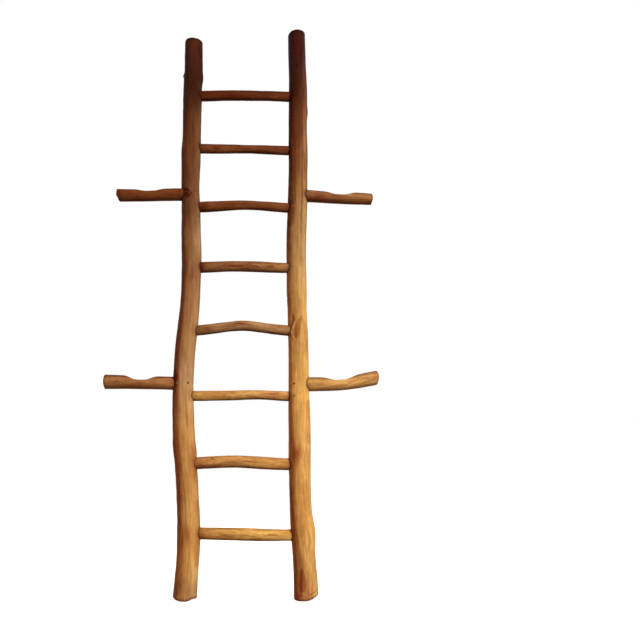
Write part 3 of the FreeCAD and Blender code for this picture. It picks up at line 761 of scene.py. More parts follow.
# A rung: each column runs from where it meets the left pole to where it meets the right one.
# Sections are upright and follow the rung's own bowed middle line
def buildRung(number, materials):
    spec = rungs[number]
    start, end = rungEnds(number)
    angle = fullTurn(rungFamily["columns"])     # from the back, over the top
    turn = math.pi - angle

    # The middle is the line between the ends, moved by a parabola's bow and by the rises
    def section(x):
        share = (x - start[0]) / (end[0] - start[0])
        rise, reach, stain, pale = branchShape(
            rungFamily, spec, x, share, angle, rungFamily["seed"] + number, number)
        back = 4 * share * (1 - share) * spec["back"] * rungFamily["thickness"]
        y = start[1] + (end[1] - start[1]) * share + back + reach * np.cos(angle)
        z = start[2] + (end[2] - start[2]) * share + rise + reach * np.sin(angle)
        return y, z, reach, stain, pale

    ends = []
    for pole, side, point in ((leftPole, 1, start), (rightPole, -1, end)):
        x = np.full(len(angle), point[0] + side * poleFamily["thickness"] / 2)
        for again in range(5):
            y, z = section(x)[:2]
            x = meetPole(pole, y, z, side)
        ends.append(x)
    way = np.linspace(0, 1, rungFamily["rows"])
    way = way - np.sin(2 * math.pi * way) * rungFamily["gather"]
    x = ends[0] + (ends[1] - ends[0]) * way[:, None]
    y, z, reach, stain, pale = section(x)
    tenon = rungFamily["tenonRadius"]
    left = tenonRows(start, tenon, rungFamily["pastCentre"], leftPole, angle, 1)
    right = tenonRows(end, tenon, rungFamily["pastCentre"], rightPole, angle, -1)
    points = np.concatenate([np.stack(left[::-1]), np.stack([x, y, z], axis=-1), np.stack(right)])
    tenonReach = np.full((3, len(angle)), tenon)
    reach = np.concatenate([tenonReach, reach, tenonReach])
    # Grime and painted shade at both ends, painted shade along the top, and painted shade along the
    # belly
    dirt = branchShadeAndDirt(np.minimum(x - ends[0], ends[1] - x), turn, spec["crown"])
    share = np.clip((points[..., 0] - start[0]) / (end[0] - start[0]), 0, 1)
    along = points[..., 0] + rungFamily["grainStart"] + number
    fields = {
        "grain": np.stack([reach * np.cos(angle), reach * np.sin(angle), along], axis=-1),
        "edge": np.zeros(reach.shape),
        "tone": between(spec["tone"], share),
        **branchMarks(stain, pale, np.maximum(dirt, paintedLightBand(turn, "belly")), turn, 2),
    }
    slots = sawnSlots(len(points), 1, 2)
    piece = gridMesh("rung" + str(number + 1), points, fields, slots)
    finishPiece(piece, "rung_" + str(number + 1), materials)


# Pegs, in shares of the peg's thickness: height at the pole, rises on the way to the tip and
# thicknesses, then the notch's depth and place. Trim is what the tip loses all over, at its
# bottom and at its top. Marks are placed by the distance from the pole's middle
pegFamily = {
    "thickness": 0.043,
    "reach": 0.250,
    "upper": 1.270,
    "lower": 0.636,
    "turns": 0.4,
    "ripples": 0.0005,
    "rim": 0.0025,
    "trimFrom": 0.35,            # sine of the turn from which the tip is trimmed
    "tenonRadius": 0.015,
    "pastCentre": 0.025,
    "notchFloor": 0.040,
    "notchRamp": 0.028,
    "notchBend": 0.004,          # how gently a ramp leaves the floor
    "notchSoftness": 0.0020,     # how gently the notch's edges are rounded
    "notchPale": 0.15,
    "darkRim": 0.004,             # reach of the rubbed edge at the tip
    # painted shade along the top of each peg
    "crown": (1.6, 22),          # the top band's strength, and how many degrees wider it is
    "stations": (0.0, 0.25, 0.50, 0.75, 1.0),
    "columns": 88,
    "rows": 170,
    "rimRows": 6,
    "faceRings": (0.85, 0.6, 0.35, 0.12),
    "grainStart": 20,
}
pegs = {
    "upper_left_peg": {
        "height": -0.01, "rises": (0, 0, -0.02, -0.04, -0.05),
        "thick": (1.00, 0.99, 0.98, 0.98, 0.98),
        "notch": 0.27, "place": 0.55, "trim": (0.0035, 0.0080, 0.0),
        "tone": ((1.12, 0.88, 0.64), (0.95, 0.71, 0.57)), "seed": 61,
        # the stained knot at 0.036 darkens the root by the pole: grime and painted shade
        "knots": [(0.06, -20, 20, 8, 0, 0.25, 0), (0.2, -10, 30, 6, 0, 0.2, 0),
                  (0.036, 0, 8, 30, 0, 0.3, 0)],
        "strokes": [stained(0.55, 3, (0.234, -60, 1), (0.236, 0, 1.4), (0.236, 60, 1))]},
    "upper_right_peg": {
        "height": 0.01, "rises": (0, -0.09, -0.17, -0.22, -0.31),
        "thick": (0.98, 0.96, 0.93, 0.96, 0.87),
        "notch": 0.33, "place": 0.58, "trim": (0.0, 0.0035, 0.0),
        "tone": ((1.06, 0.98, 1.00), (1.44, 1.54, 1.28)), "seed": 62,
        "knots": [(0.055, -48, 40, 11, 0, 0.4, 0), (0.052, 26, 24, 9, 0.6, 0, 0.5),
                  (0.068, -5, 14, 9, 0, 0.4, 0), (0.225, 5, 20, 8, 0, 0, 0.35),
                  (0.24, -50, 12, 8, 0, 0.35, 0)],
        "strokes": [
            stained(0.3, 3, (0.082, 30, 1), (0.083, 0, 1), (0.081, -25, 1)),
            stained(0.35, 4, (0.095, 14, 1), (0.12, 0, 2), (0.15, -6, 1)),
            faded(0.45, 6, (0.04, 30, 4), (0.1, 20, 7), (0.15, 14, 6), (0.21, 12, 6)),
            stained(0.2, 6, (0.04, -52, 6), (0.12, -54, 8), (0.24, -52, 8))]},
    "lower_left_peg": {
        "height": 0.00, "rises": (0, 0.05, 0.09, 0.13, 0.15),
        "thick": (0.98, 0.99, 1.00, 1.02, 1.04),
        "notch": 0.33, "place": 0.54, "trim": (0.0, 0.0025, 0.0008),
        "tone": ((0.96, 0.88, 0.82), (0.80, 0.69, 0.67)), "seed": 63,
        "knots": [(0.145, 8, 40, 10, 0, 0, 0.4), (0.15, -25, 40, 6, 0, 0.25, 0),
                  (0.07, 15, 30, 5, 0, 0, 0.15)],
        "strokes": [
            stained(0.4, 2.5, (0.242, -70, 0.8), (0.244, 0, 1.2), (0.243, 70, 0.8)),
            stained(0.22, 3, (0.19, 0, 1), (0.215, -6, 2))]},
    "lower_right_peg": {
        "height": -0.07, "rises": (0, 0.02, 0.07, 0.25, 0.52),
        "thick": (1.10, 1.05, 1.03, 1.03, 1.03),
        "notch": 0.27, "place": 0.53, "trim": (0.0, 0.0035, 0.0035),
        "tone": ((1.30, 1.44, 1.19), (1.42, 1.54, 1.36)), "seed": 64,
        "knots": [(0.045, 0, 20, 8, 0, 0, 0.3), (0.14, 0, 40, 10, 0, 0, 0.3),
                  (0.24, 10, 14, 12, 0, 0.25, 0)],
        "strokes": [
            stained(0.32, 3, (0.095, -28, 1), (0.14, -22, 2.2), (0.175, -6, 1.2)),
            stained(0.38, 3, (0.15, -2, 0.8), (0.19, 6, 1.8), (0.215, 12, 0.8)),
            faded(0.2, 4, (0.06, 34, 2), (0.12, 40, 3))]},
}


# Pole that carries a peg, and the middle of its joint: the height is that of the upper or
# lower pair, moved by the peg's own share of its thickness
def pegRoot(name):
    pole = leftPole if "left" in name else rightPole
    base = pegFamily["upper" if "upper" in name else "lower"]
    return pole, jointMiddle(pole, base + pegs[name]["height"] * pegFamily["thickness"])


# Height of the hanger notch along a peg: a flat floor between two ramps, joined by a soft
# maximum, and tilted with the peg
def notchHeight(distance, floorHeight, depth, tilt):
    beyond = (np.abs(distance) - pegFamily["notchFloor"] / 2) / pegFamily["notchBend"]
    ramp = np.logaddexp(0, beyond) * pegFamily["notchBend"] * depth / pegFamily["notchRamp"]
    return floorHeight + ramp + tilt * distance


# A peg: columns run from the pole's surface to the tip. What rises above the notch's height
# is brought down to it by a soft minimum, which leaves a carved saddle right across the peg
def buildPeg(name, materials):
    spec = pegs[name]
    pole, root = pegRoot(name)
    side = pole["side"]
    angle = fullTurn(pegFamily["columns"])      # from the back, over the top
    turn = math.pi - angle
    thick = pegFamily["thickness"]
    length = pegFamily["reach"]
    stations = pegFamily["stations"]
    rim = pegFamily["rim"]

    # Height of the middle, radius, stain and paleness at a reach from the pole's middle
    def section(reach):
        rise, *others = branchShape(pegFamily, spec, reach, np.clip(reach / length, 0, 1),
                                    angle, spec["seed"], spec["height"])
        return root[2] + rise, *others

    x = np.full(len(angle), root[0] + side * poleFamily["thickness"] / 2)
    for again in range(5):
        z0, radius, stain, pale = section(side * (x - root[0]))
        x = meetPole(pole, root[1] + radius * np.cos(angle), z0 + radius * np.sin(angle), side)
    shoulder = side * (x - root[0])
    trimFrom = pegFamily["trimFrom"]
    low, high = [np.clip(way * np.sin(angle) - trimFrom, 0, 1) / (1 - trimFrom) for way in (-1, 1)]
    tip = length - spec["trim"][0] - spec["trim"][1] * low - spec["trim"][2] * high
    way = np.linspace(0, 1, pegFamily["rows"])[:, None]
    quarter = np.linspace(0, math.pi / 2, pegFamily["rimRows"])[1:, None]
    faces = np.array(pegFamily["faceRings"])[:, None]
    reach = np.concatenate([
        shoulder + (tip - rim - shoulder) * way,
        tip - rim * (1 - np.sin(quarter)),
        tip * faces + (1 - faces) * tip.mean()])
    inset = np.concatenate([0 * way, rim * (1 - np.cos(quarter)), rim + 0 * faces])
    shrink = np.concatenate([1 + 0 * way, 1 + 0 * quarter, faces])
    z0, radius, stain, pale = section(reach)
    radius = (radius - inset) * shrink
    y = root[1] + radius * np.cos(angle)
    z = z0 + radius * np.sin(angle)

    place = spec["place"] * length
    half = pegFamily["notchFloor"] / 2
    around = np.array([place - half, place, place + half]) / length
    before, here, after = throughPoints(stations, spec["rises"], around) * thick
    top = root[2] + here + throughPoints(stations, spec["thick"], spec["place"]) * thick / 2
    depth = spec["notch"] * thick
    limit = notchHeight(reach - place, top - depth, depth, (after - before) / 2 / half)
    above = (z - limit) / pegFamily["notchSoftness"]
    z = z - pegFamily["notchSoftness"] * np.logaddexp(0, above)
    pale = pale + pegFamily["notchPale"] * np.clip(above + 0.5, 0, 1)

    tenon = pegFamily["tenonRadius"]
    tenonPoints = np.stack(tenonRows(root, tenon, pegFamily["pastCentre"], pole, angle, side)[::-1])
    points = np.concatenate([tenonPoints, np.stack([root[0] + side * reach, y, z], axis=-1)])
    bare = np.zeros((3, len(angle)))
    across = np.concatenate([bare + tenon, radius]) * np.cos(angle)
    upward = np.concatenate([bare + tenon * np.sin(angle), z - z0])
    share = np.clip(side * (points[..., 0] - root[0]) / length, 0, 1)
    along = points[..., 0] + pegFamily["grainStart"] + spec["seed"]
    # Grime and painted shade at the shoulder, and painted shade along the top
    dirt = branchShadeAndDirt(reach - shoulder, turn, pegFamily["crown"])
    fields = {
        "grain": np.stack([across, upward, along], axis=-1),
        "edge": np.concatenate([bare, np.exp(-((tip - reach) / pegFamily["darkRim"]) ** 2)]),
        "tone": between(spec["tone"], share),
        **branchMarks(stain, pale, dirt, turn, 1),
    }
    words = name.split("_")
    label = words[0] + "".join(word.title() for word in words[1:])
    slots = sawnSlots(len(points), 1, len(faces) + 1)
    piece = gridMesh(label, points, fields, slots, flip=side < 0)
    finishPiece(piece, name, materials)


# Every joint that a pole carries: middle, radius of the branch there, and the side of the
# pole that it leaves. Rungs come first, lowest first
def poleJoints(pole):
    end = 0 if pole is leftPole else -1
    joints = []
    for number, spec in enumerate(rungs):
        radius = spec["thick"][end] * rungFamily["thickness"] / 2
        joints.append((rungEnds(number)[end], radius, -pole["side"]))
    for name, spec in pegs.items():
        carrier, root = pegRoot(name)
        if carrier is pole:
            joints.append((root, spec["thick"][0] * pegFamily["thickness"] / 2, pole["side"]))
    return joints


# Locking dowels. Offsets are from a joint's middle along X. Heads say how dark each shows,
# from 0, toned like the wood, to 1: rungs lowest first, and the upper peg's two first
dowels = {
    "radius": 0.0035,
    "rungOffset": 0.017,
    "pegOffset": 0.017,
    "pastCentre": 0.020,
    "proud": 0.00015,
    "leftRungHeads": (0.15, 0.15, 0.15, 0.1, 0.1, 0.1, 0.1, 0.1),
    "rightRungHeads": (0.35, 0.35, 0.70, 0.2, 0.1, 0.1, 0.1, 0.1),
    "leftPegHeads": (0.1, 0.1, 0.2, 0.9),
    "rightPegHeads": (0.1, 0.1, 0.9, 0.1),
    "columns": 20,
    "rings": (0.45, 0.85, 1.0),          # of the head, in shares of the radius
    "ringsProud": (1.0, 1.0, 0.5),       # and how much of the proudness each has
}


# Each dowel is a round pin along Y. Its front face follows the pole, a hair proud of it: the
# depth is read from the pole's radius at the angle found so far, a few times over
def buildDowels(name, node, pole, places, heads, materials):
    angle = fullTurn(dowels["columns"])
    rings = dowels["radius"] * np.array(dowels["rings"])[:, None]
    pins = []
    for number, (middle, offset) in enumerate(places):
        x = middle[0] + offset + rings * np.cos(angle)
        z = middle[2] + rings * np.sin(angle)
        x0, y0, reach = poleMiddle(pole, z)
        y = y0 - halfChord(reach, x - x0)
        for again in range(4):
            reach = poleSurface(pole, z, np.arctan2(y - y0, x - x0))[2]
            y = y0 - halfChord(reach, x - x0)
        y = y - dowels["proud"] * np.array(dowels["ringsProud"])[:, None]
        front = np.stack([x, y, z], axis=-1)
        back = front[-1:].copy()
        back[..., 1] = middle[1] + dowels["pastCentre"]
        points = np.concatenate([front, back])
        along = (points - points.mean(axis=(0, 1)) + number)[..., [0, 2, 1]]
        bare = np.zeros(points.shape[:2])
        fields = {"grain": along, "stain": bare + heads[number],
                  "tone": bare[..., None] + poleTone(pole, middle[2])}
        pins.append(gridMesh(name + str(number), points, fields, np.zeros(len(points), int)))
    with bpy.context.temp_override(active_object=pins[0], selected_editable_objects=pins):
        bpy.ops.object.join()
    pins[0].name = name
    finishPiece(pins[0], node, materials)


white = (1, 1, 1, 1)


# Colour written as it looks on a screen, 0 to 255, turned into the linear value that a shader
# wants: the standard screen curve, which is straight near black
def tint(*colour):
    linear = [((c / 255 + 0.055) / 1.055) ** 2.4 if c > 10 else c / 255 / 12.92 for c in colour]
    return (*linear, 1.0)


# Puts one node into a tree, sets its plain values and links its inputs
def addNode(tree, kind, inputs=None, **settings):
    node = tree.nodes.new(kind)
    for key, value in settings.items():
        setattr(node, key, value)
    for key, value in (inputs or {}).items():
        if isinstance(value, bpy.types.NodeSocket):
            tree.links.new(value, node.inputs[key])
        else:
            node.inputs[key].default_value = value
    return node


# Mix of two colours: the first, brought by the factor towards the second
def blend(tree, factor, first, second, mode="MIX"):
    values = {0: factor, 6: first, 7: second}
    return addNode(tree, "ShaderNodeMix", values, data_type="RGBA", blend_type=mode).outputs[2]


# Product of two colours, channel by channel
def multiply(tree, first, second):
    return blend(tree, 1.0, first, second, "MULTIPLY")


# Colour brought by an amount towards its own product with another
def soaked(tree, amount, colour, factor):
    return blend(tree, amount, colour, multiply(tree, colour, factor))


# One Math node: the operation on two values, or on three where it takes them
def calculate(tree, operation, first, second=0.5, third=0.5):
    values = {0: first, 1: second, 2: third}
    return addNode(tree, "ShaderNodeMath", values, operation=operation).outputs[0]


# One Vector Math node, with its nth output
def vectors(tree, operation, first, second=(0, 0, 0), output=0):
    values = {0: first, 1: second}
    return addNode(tree, "ShaderNodeVectorMath", values, operation=operation).outputs[output]


# Straight map of one range onto another, held at both ends
def remap(tree, value, low, high, newLow=0.0, newHigh=1.0):
    values = {0: value, 1: low, 2: high, 3: newLow, 4: newHigh}
    return addNode(tree, "ShaderNodeMapRange", values).outputs[0]


# Value that the mesh carries under a name
def attribute(tree, label, output="Fac"):
    return addNode(tree, "ShaderNodeAttribute", attribute_name=label).outputs[output]


# Place on the object, which is the place in the room since every piece stands at the origin
def objectPlace(tree):
    return addNode(tree, "ShaderNodeTexCoord").outputs["Object"]


# Puts a node group into a material's tree
def useGroup(tree, group, inputs):
    return addNode(tree, "ShaderNodeGroup", inputs, node_tree=group).outputs


# Empty node group with named inputs, each with its kind and plain value, and named outputs
def newGroup(name, inputs, outputs):
    tree = bpy.data.node_groups.new(name, "ShaderNodeTree")
    for label, kind, value in inputs:
        kind = "NodeSocket" + kind
        socket = tree.interface.new_socket(name=label, in_out="INPUT", socket_type=kind)
        if value is not None:
            socket.default_value = value
    for label, kind in outputs:
        kind = "NodeSocket" + kind
        tree.interface.new_socket(name=label, in_out="OUTPUT", socket_type=kind)
    return tree, tree.nodes.new("NodeGroupInput").outputs, tree.nodes.new("NodeGroupOutput").inputs


# Patterns of the grain: how short each is made along the branch, size, detail, roughness and
# distortion of its noise, and the part of the noise that is spread from 0 to 1
grainPatterns = {
    "Line": (0.022, 0.0016, 2.0, 0.60, 0.1, 0.54, 0.70),
    "Pore": (0.090, 0.0010, 1.0, 0.50, 0.0, 0.62, 0.74),
    "Blotch": (0.26, 0.034, 3.0, 0.60, 0.8, 0.34, 0.66),
    "Fleck": (0.32, 0.0050, 3.0, 0.65, 0.8, 0.34, 0.66),
}
growthRings = {"noise": (0.12, 0.030, 2.0, 0.50, 0.2), "bend": 0.012}
grainHeight = {"Line": -0.6, "Streak": 0.55, "Pore": -0.5, "Band": 0.25}


# Grain of a branch, in the branch's own straightened coordinates, whose Z runs along it:
# long streaks, fine lines, pores, flecks, blotches and the bands where growth rings come out.
# A band is a sine of the distance from the pith, bent by noise, and the height is a sum
def makeGrainGroup():
    labels = ("Streak", "Line", "Pore", "Blotch", "Fleck", "Band", "Height")
    tree, given, put = newGroup(
        "teakGrain",
        [("Position", "Vector", None), ("Streak Size", "Float", 0.0035),
         ("Ring Width", "Float", 0.0022), ("Figure", "Float", 0.4)],
        [(label, "Float") for label in labels])

    # Noise of the position, with Z made shorter so that the pattern runs along the branch
    def noise(stretch, size, detail, rough, twist):
        return addNode(tree, "ShaderNodeTexNoise", {
            "Vector": vectors(tree, "MULTIPLY", given["Position"], (1, 1, stretch)),
            "Scale": calculate(tree, "DIVIDE", 1.0, size),
            "Detail": detail, "Roughness": rough, "Distortion": twist}).outputs["Fac"]

    streak = (0.060, given["Streak Size"], 4.0, 0.60, given["Figure"], 0.36, 0.64)
    found = {}
    for label, row in (("Streak", streak), *grainPatterns.items()):
        found[label] = remap(tree, noise(*row[:5]), *row[5:])
    parts = addNode(tree, "ShaderNodeSeparateXYZ", {0: given["Position"]}).outputs
    squared = calculate(tree, "ADD", calculate(tree, "POWER", parts[0], 2.0),
                        calculate(tree, "POWER", parts[1], 2.0))
    growth = calculate(tree, "MULTIPLY_ADD", noise(*growthRings["noise"]), growthRings["bend"],
                       calculate(tree, "SQRT", squared))
    rings = calculate(tree, "DIVIDE", growth, given["Ring Width"])
    wave = calculate(tree, "SINE", calculate(tree, "MULTIPLY", rings, 2 * math.pi))
    found["Band"] = remap(tree, wave, -1.0, 1.0)
    height = 0.0
    for label, share in grainHeight.items():
        height = calculate(tree, "MULTIPLY_ADD", found[label], share, height)
    found["Height"] = height
    for label in labels:
        tree.links.new(found[label], put[label])
    return tree


# Colour by height, honey near the floor and red-brown at the top: partly how wax and years have
# darkened the ladder, partly painted shade of light that falls off towards the top
toneByHeight = [
    (0.00, (205, 156, 94)), (0.12, (206, 154, 84)), (0.26, (203, 152, 84)), (0.50, (199, 150, 88)),
    (0.70, (181, 138, 92)), (0.87, (166, 120, 79)), (0.98, (149, 103, 65)), (1.10, (148, 107, 68)),
    (1.20, (131, 91, 58)), (1.33, (115, 74, 46)), (1.42, (115, 71, 40)), (1.50, (108, 65, 36)),
    (1.60, (82, 43, 24)), (1.70, (65, 31, 17)), (1.79, (72, 34, 21)), (1.845, (80, 40, 23)),
    (1.90, (74, 36, 20)),
]
waxByHeight = (1.00, 1.45, 0.06, 0.01)      # two heights, and the coat's weight at each


# Colour ramp over the height, with its painted shade towards the top, and the wax that still shines
# below the dark top: both are read straight from one row of their tables to the next
def makeToneGroup():
    tree, given, put = newGroup("heightTone", [("Position", "Vector", None)],
                                [("Color", "Color"), ("Wax", "Float")])
    height = addNode(tree, "ShaderNodeSeparateXYZ", {0: given["Position"]}).outputs[2]
    top = toneByHeight[-1][0]
    ramp = addNode(tree, "ShaderNodeValToRGB", {0: calculate(tree, "DIVIDE", height, top)})
    stops = ramp.color_ramp.elements
    while len(stops) < len(toneByHeight):
        stops.new(0.5)
    for stop, (level, colour) in zip(stops, toneByHeight):
        stop.position = level / top
        stop.color = tint(*colour)
    tree.links.new(ramp.outputs[0], put["Color"])
    tree.links.new(remap(tree, height, *waxByHeight), put["Wax"])
    return tree


# What each mark multiplies the wood's colour by where it is full, and how rough it makes it
wear = {
    "stain": (0.55, 0.24, 0.17, 1),      # twice over
    "pale": (1.35, 1.60, 1.85, 1),       # again from 1 to 2
    # grime together with painted shade at the joints, flanks, tops and bellies
    "dirt": (0.14, 0.07, 0.05, 1),
    # darker rims: worn, and at the foot painted contact shadow
    "edge": (0.34, 0.24, 0.17, 1),
    "edgeShow": 0.9,
    "uneven": (0.80, 1.15),              # how far the grain breaks up a stain
    "roughShadeAndDirt": 0.3,
    "roughStain": 0.1,
}


# Marks carried by the mesh: stains and pale patches, some of them painted shade and painted
# highlight, grime together with painted shade at the joints and along flanks, tops and bellies, and
# darker rims, worn and at the foot painted contact shadow. Each brings the colour towards its
# product with the mark's own, and the rough ones add to it
def makeMarksAndShadeGroup():
    tree, given, put = newGroup(
        "marksWearAndShade",
        [("Color", "Color", (0.5, 0.5, 0.5, 1)), ("Roughness", "Float", 0.4),
         ("Stain", "Float", 0.0), ("Pale", "Float", 0.0), ("Dirt", "Float", 0.0),
         ("Edge", "Float", 0.0), ("Tone", "Vector", (1, 1, 1)), ("Break Up", "Float", 0.5)],
        [("Color", "Color"), ("Roughness", "Float")])
    colour = vectors(tree, "MULTIPLY", given["Color"], given["Tone"])
    uneven = remap(tree, given["Break Up"], 0.0, 1.0, *wear["uneven"])
    stain = calculate(tree, "MINIMUM", calculate(tree, "MULTIPLY", given["Stain"], uneven), 1.0)
    soak = blend(tree, stain, white, wear["stain"])
    colour = multiply(tree, multiply(tree, colour, soak), soak)
    for start in (0.0, 1.0):
        pale = remap(tree, given["Pale"], start, start + 1.0)
        colour = soaked(tree, pale, colour, wear["pale"])
    colour = soaked(tree, given["Dirt"], colour, wear["dirt"])
    darkRim = calculate(tree, "MULTIPLY", given["Edge"], wear["edgeShow"])
    tree.links.new(soaked(tree, darkRim, colour, wear["edge"]), put["Color"])
    rough = calculate(tree, "MULTIPLY_ADD", given["Dirt"], wear["roughShadeAndDirt"], given["Roughness"])
    rough = calculate(tree, "MULTIPLY_ADD", stain, wear["roughStain"], rough)
    tree.links.new(rough, put["Roughness"])
    return tree


# New material: its tree and its shader's sockets
def newMaterial(name):
    material = bpy.data.materials.new(name)
    material.use_nodes = True
    return material, material.node_tree, material.node_tree.nodes["Principled BSDF"].inputs


# Feeds a wood's shader with colour, roughness and the relief of a height. Dry wood hardly
# shines, so its specular level is low
def feedShader(tree, shader, colour, roughness, height, depth, strength):
    values = {"Height": height, "Distance": depth, "Strength": strength}
    relief = addNode(tree, "ShaderNodeBump", values)
    tree.links.new(colour, shader["Base Color"])
    tree.links.new(roughness, shader["Roughness"])
    tree.links.new(relief.outputs[0], shader["Normal"])
    shader["Specular IOR Level"].default_value = 0.02


# What each pattern of the grain multiplies the wood's colour by where it is 0 and where it is
# 1, and how much of that each finish shows
grainColours = {
    "Blotch": ((1.20, 1.25, 1.25, 1), (0.80, 0.71, 0.64, 1)),
    "Streak": ((1.20, 1.24, 1.24, 1), (0.75, 0.67, 0.61, 1)),
    "Fleck": ((1.17, 1.21, 1.21, 1), (0.80, 0.73, 0.68, 1)),
    "Band": ((1.10, 1.10, 1.08, 1), (0.86, 0.80, 0.76, 1)),
    "Line": ((1.03, 1.03, 1.03, 1), (0.58, 0.48, 0.40, 1)),
    "Pore": ((1.0, 1.0, 1.0, 1), (0.66, 0.56, 0.50, 1)),
}
woodFinishes = {
    "poleTeak": {
        "Streak Size": 0.005, "Ring Width": 0.0030, "Figure": 0.5,
        "roughness": 0.40, "relief": 0.00045,
        "Blotch": 0.75, "Streak": 0.60, "Fleck": 0.25, "Band": 0.25, "Line": 0.55, "Pore": 0.5},
    "rungTeak": {
        "Streak Size": 0.0036, "Ring Width": 0.0022, "Figure": 1.1,
        "roughness": 0.40, "relief": 0.00040,
        "Blotch": 0.90, "Streak": 0.80, "Fleck": 0.85, "Band": 0.30, "Line": 0.50, "Pore": 0.5},
    "pegTeak": {
        "Streak Size": 0.004, "Ring Width": 0.0024, "Figure": 0.8,
        "roughness": 0.42, "relief": 0.00040,
        "Blotch": 0.85, "Streak": 0.70, "Fleck": 0.70, "Band": 0.30, "Line": 0.50, "Pore": 0.5},
}


# Waxed teak with the bark off: the tone of the height, multiplied by each pattern of the
# grain, about its own average, and then marked
def makeWood(name, finish, groups):
    material, tree, shader = newMaterial(name)
    grain = useGroup(tree, groups["grain"], {
        "Position": attribute(tree, "grain", "Vector"),
        **{label: finish[label] for label in ("Streak Size", "Ring Width", "Figure")}})
    toned = useGroup(tree, groups["tone"], {"Position": objectPlace(tree)})
    colour = toned["Color"]
    for label, (low, high) in grainColours.items():
        span = blend(tree, grain[label], low, high)
        colour = multiply(tree, colour, blend(tree, finish[label], white, span))
    smooth = finish["roughness"]
    marked = useGroup(tree, groups["wear"], {
        "Color": colour, "Roughness": remap(tree, grain["Streak"], 0.0, 1.0, smooth, smooth + 0.10),
        "Tone": attribute(tree, "tone", "Vector"), "Break Up": grain["Streak"],
        **{label: attribute(tree, label.lower()) for label in ("Stain", "Pale", "Dirt", "Edge")}})
    feedShader(tree, shader, marked["Color"], marked["Roughness"], grain["Height"],
               finish["relief"], 0.7)
    tree.links.new(toned["Wax"], shader["Coat Weight"])
    shader["Coat Roughness"].default_value = 0.38
    return material


# Tone of the height, multiplied by the piece's own
def ownTone(tree, groups):
    tone = useGroup(tree, groups["tone"], {"Position": objectPlace(tree)})["Color"]
    return vectors(tree, "MULTIPLY", tone, attribute(tree, "tone", "Vector"))


# Sawn end of a branch, darker than its side. Checks are fine cracks along the radius
sawnEnd = {
    "base": (0.76, 0.60, 0.48, 1),       # what the tone is multiplied by
    "rings": (0.45, 0.34, 0.26, 1),      # and the base again where a ring is dark
    "ringWidth": 0.0021,
    "ringShow": 0.7,
    "ringBend": 0.003,
    "checks": (30, 15, 9),
    "checkShow": 0.85,
    "checkReach": (0.002, 0.030),        # they open between these distances from the pith
    "roughness": (0.58, 0.72),
    "relief": 0.0006,
}


# Growth rings are a sine of the distance from the pith, bent by noise. Checks are the peaks
# of a noise that depends on the way from the pith alone
def makeEndGrain(name, groups):
    material, tree, shader = newMaterial(name)
    flat = vectors(tree, "MULTIPLY", attribute(tree, "grain", "Vector"), (1, 1, 0))
    waver = addNode(tree, "ShaderNodeTexNoise", {"Vector": flat, "Scale": 60.0, "Detail": 3.0})
    length = vectors(tree, "LENGTH", flat, output="Value")
    growth = calculate(tree, "MULTIPLY_ADD", waver.outputs["Fac"], sawnEnd["ringBend"], length)
    ring = calculate(tree, "MULTIPLY", growth, 2 * math.pi / sawnEnd["ringWidth"])
    ring = remap(tree, calculate(tree, "SINE", ring), -1.0, 1.0)
    parts = addNode(tree, "ShaderNodeSeparateXYZ", {0: flat}).outputs
    way = calculate(tree, "ARCTAN2", parts[1], parts[0])
    spokes = addNode(tree, "ShaderNodeTexNoise", {"W": way, "Scale": 9.0, "Detail": 4.0},
                     noise_dimensions="1D")
    check = calculate(tree, "MULTIPLY", remap(tree, spokes.outputs["Fac"], 0.62, 0.70),
                      remap(tree, length, *sawnEnd["checkReach"]))
    base = multiply(tree, ownTone(tree, groups), sawnEnd["base"])
    shown = calculate(tree, "MULTIPLY", ring, sawnEnd["ringShow"])
    colour = soaked(tree, shown, base, sawnEnd["rings"])
    cracked = calculate(tree, "MULTIPLY", check, sawnEnd["checkShow"])
    colour = blend(tree, cracked, colour, tint(*sawnEnd["checks"]))
    height = calculate(tree, "MULTIPLY_ADD", ring, 0.3, calculate(tree, "MULTIPLY", check, -1.0))
    rough = remap(tree, ring, 0.0, 1.0, *sawnEnd["roughness"])
    feedShader(tree, shader, colour, rough, height, sawnEnd["relief"], 0.8)
    return material


# Heads of the dowels
dowelHead = {
    "dark": (0.22, 0.09, 0.05, 1),       # what the tone is multiplied by where a head is dark
    "fleckScale": 900.0,
    "fleckShow": 0.35,
    "roughness": (0.5, 0.65),
    "relief": 0.0003,
}


# The head's stain brings the wood's tone towards dark, and the peaks of a noise mottle it
def makeDowelWood(name, groups):
    material, tree, shader = newMaterial(name)
    tone = ownTone(tree, groups)
    fleck = addNode(tree, "ShaderNodeTexNoise", {
        "Vector": objectPlace(tree), "Scale": dowelHead["fleckScale"], "Detail": 2.0})
    fleck = fleck.outputs["Fac"]
    dark = multiply(tree, tone, dowelHead["dark"])
    colour = blend(tree, attribute(tree, "stain"), tone, dark)
    mottled = remap(tree, fleck, 0.5, 0.7, 0.0, dowelHead["fleckShow"])
    rough = remap(tree, fleck, 0.3, 0.7, *dowelHead["roughness"])
    colour = blend(tree, mottled, colour, dark)
    feedShader(tree, shader, colour, rough, fleck, dowelHead["relief"], 0.6)
    return material


# Every material by name, from the three groups that they share
def makeMaterials():
    groups = {"grain": makeGrainGroup(), "tone": makeToneGroup(), "wear": makeMarksAndShadeGroup()}
    materials = {name: makeWood(name, finish, groups) for name, finish in woodFinishes.items()}
    materials["sawnEnd"] = makeEndGrain("sawnEnd", groups)
    materials["dowelWood"] = makeDowelWood("dowelWood", groups)
    return materials


# 1 where the camera, a reflection or glass sees a surface, and 0 where only its light counts
def directView(tree):
    path = addNode(tree, "ShaderNodeLightPath").outputs
    seen = calculate(tree, "MAXIMUM", path["Is Camera Ray"], path["Is Glossy Ray"])
    return calculate(tree, "MAXIMUM", seen, path["Is Transmission Ray"])


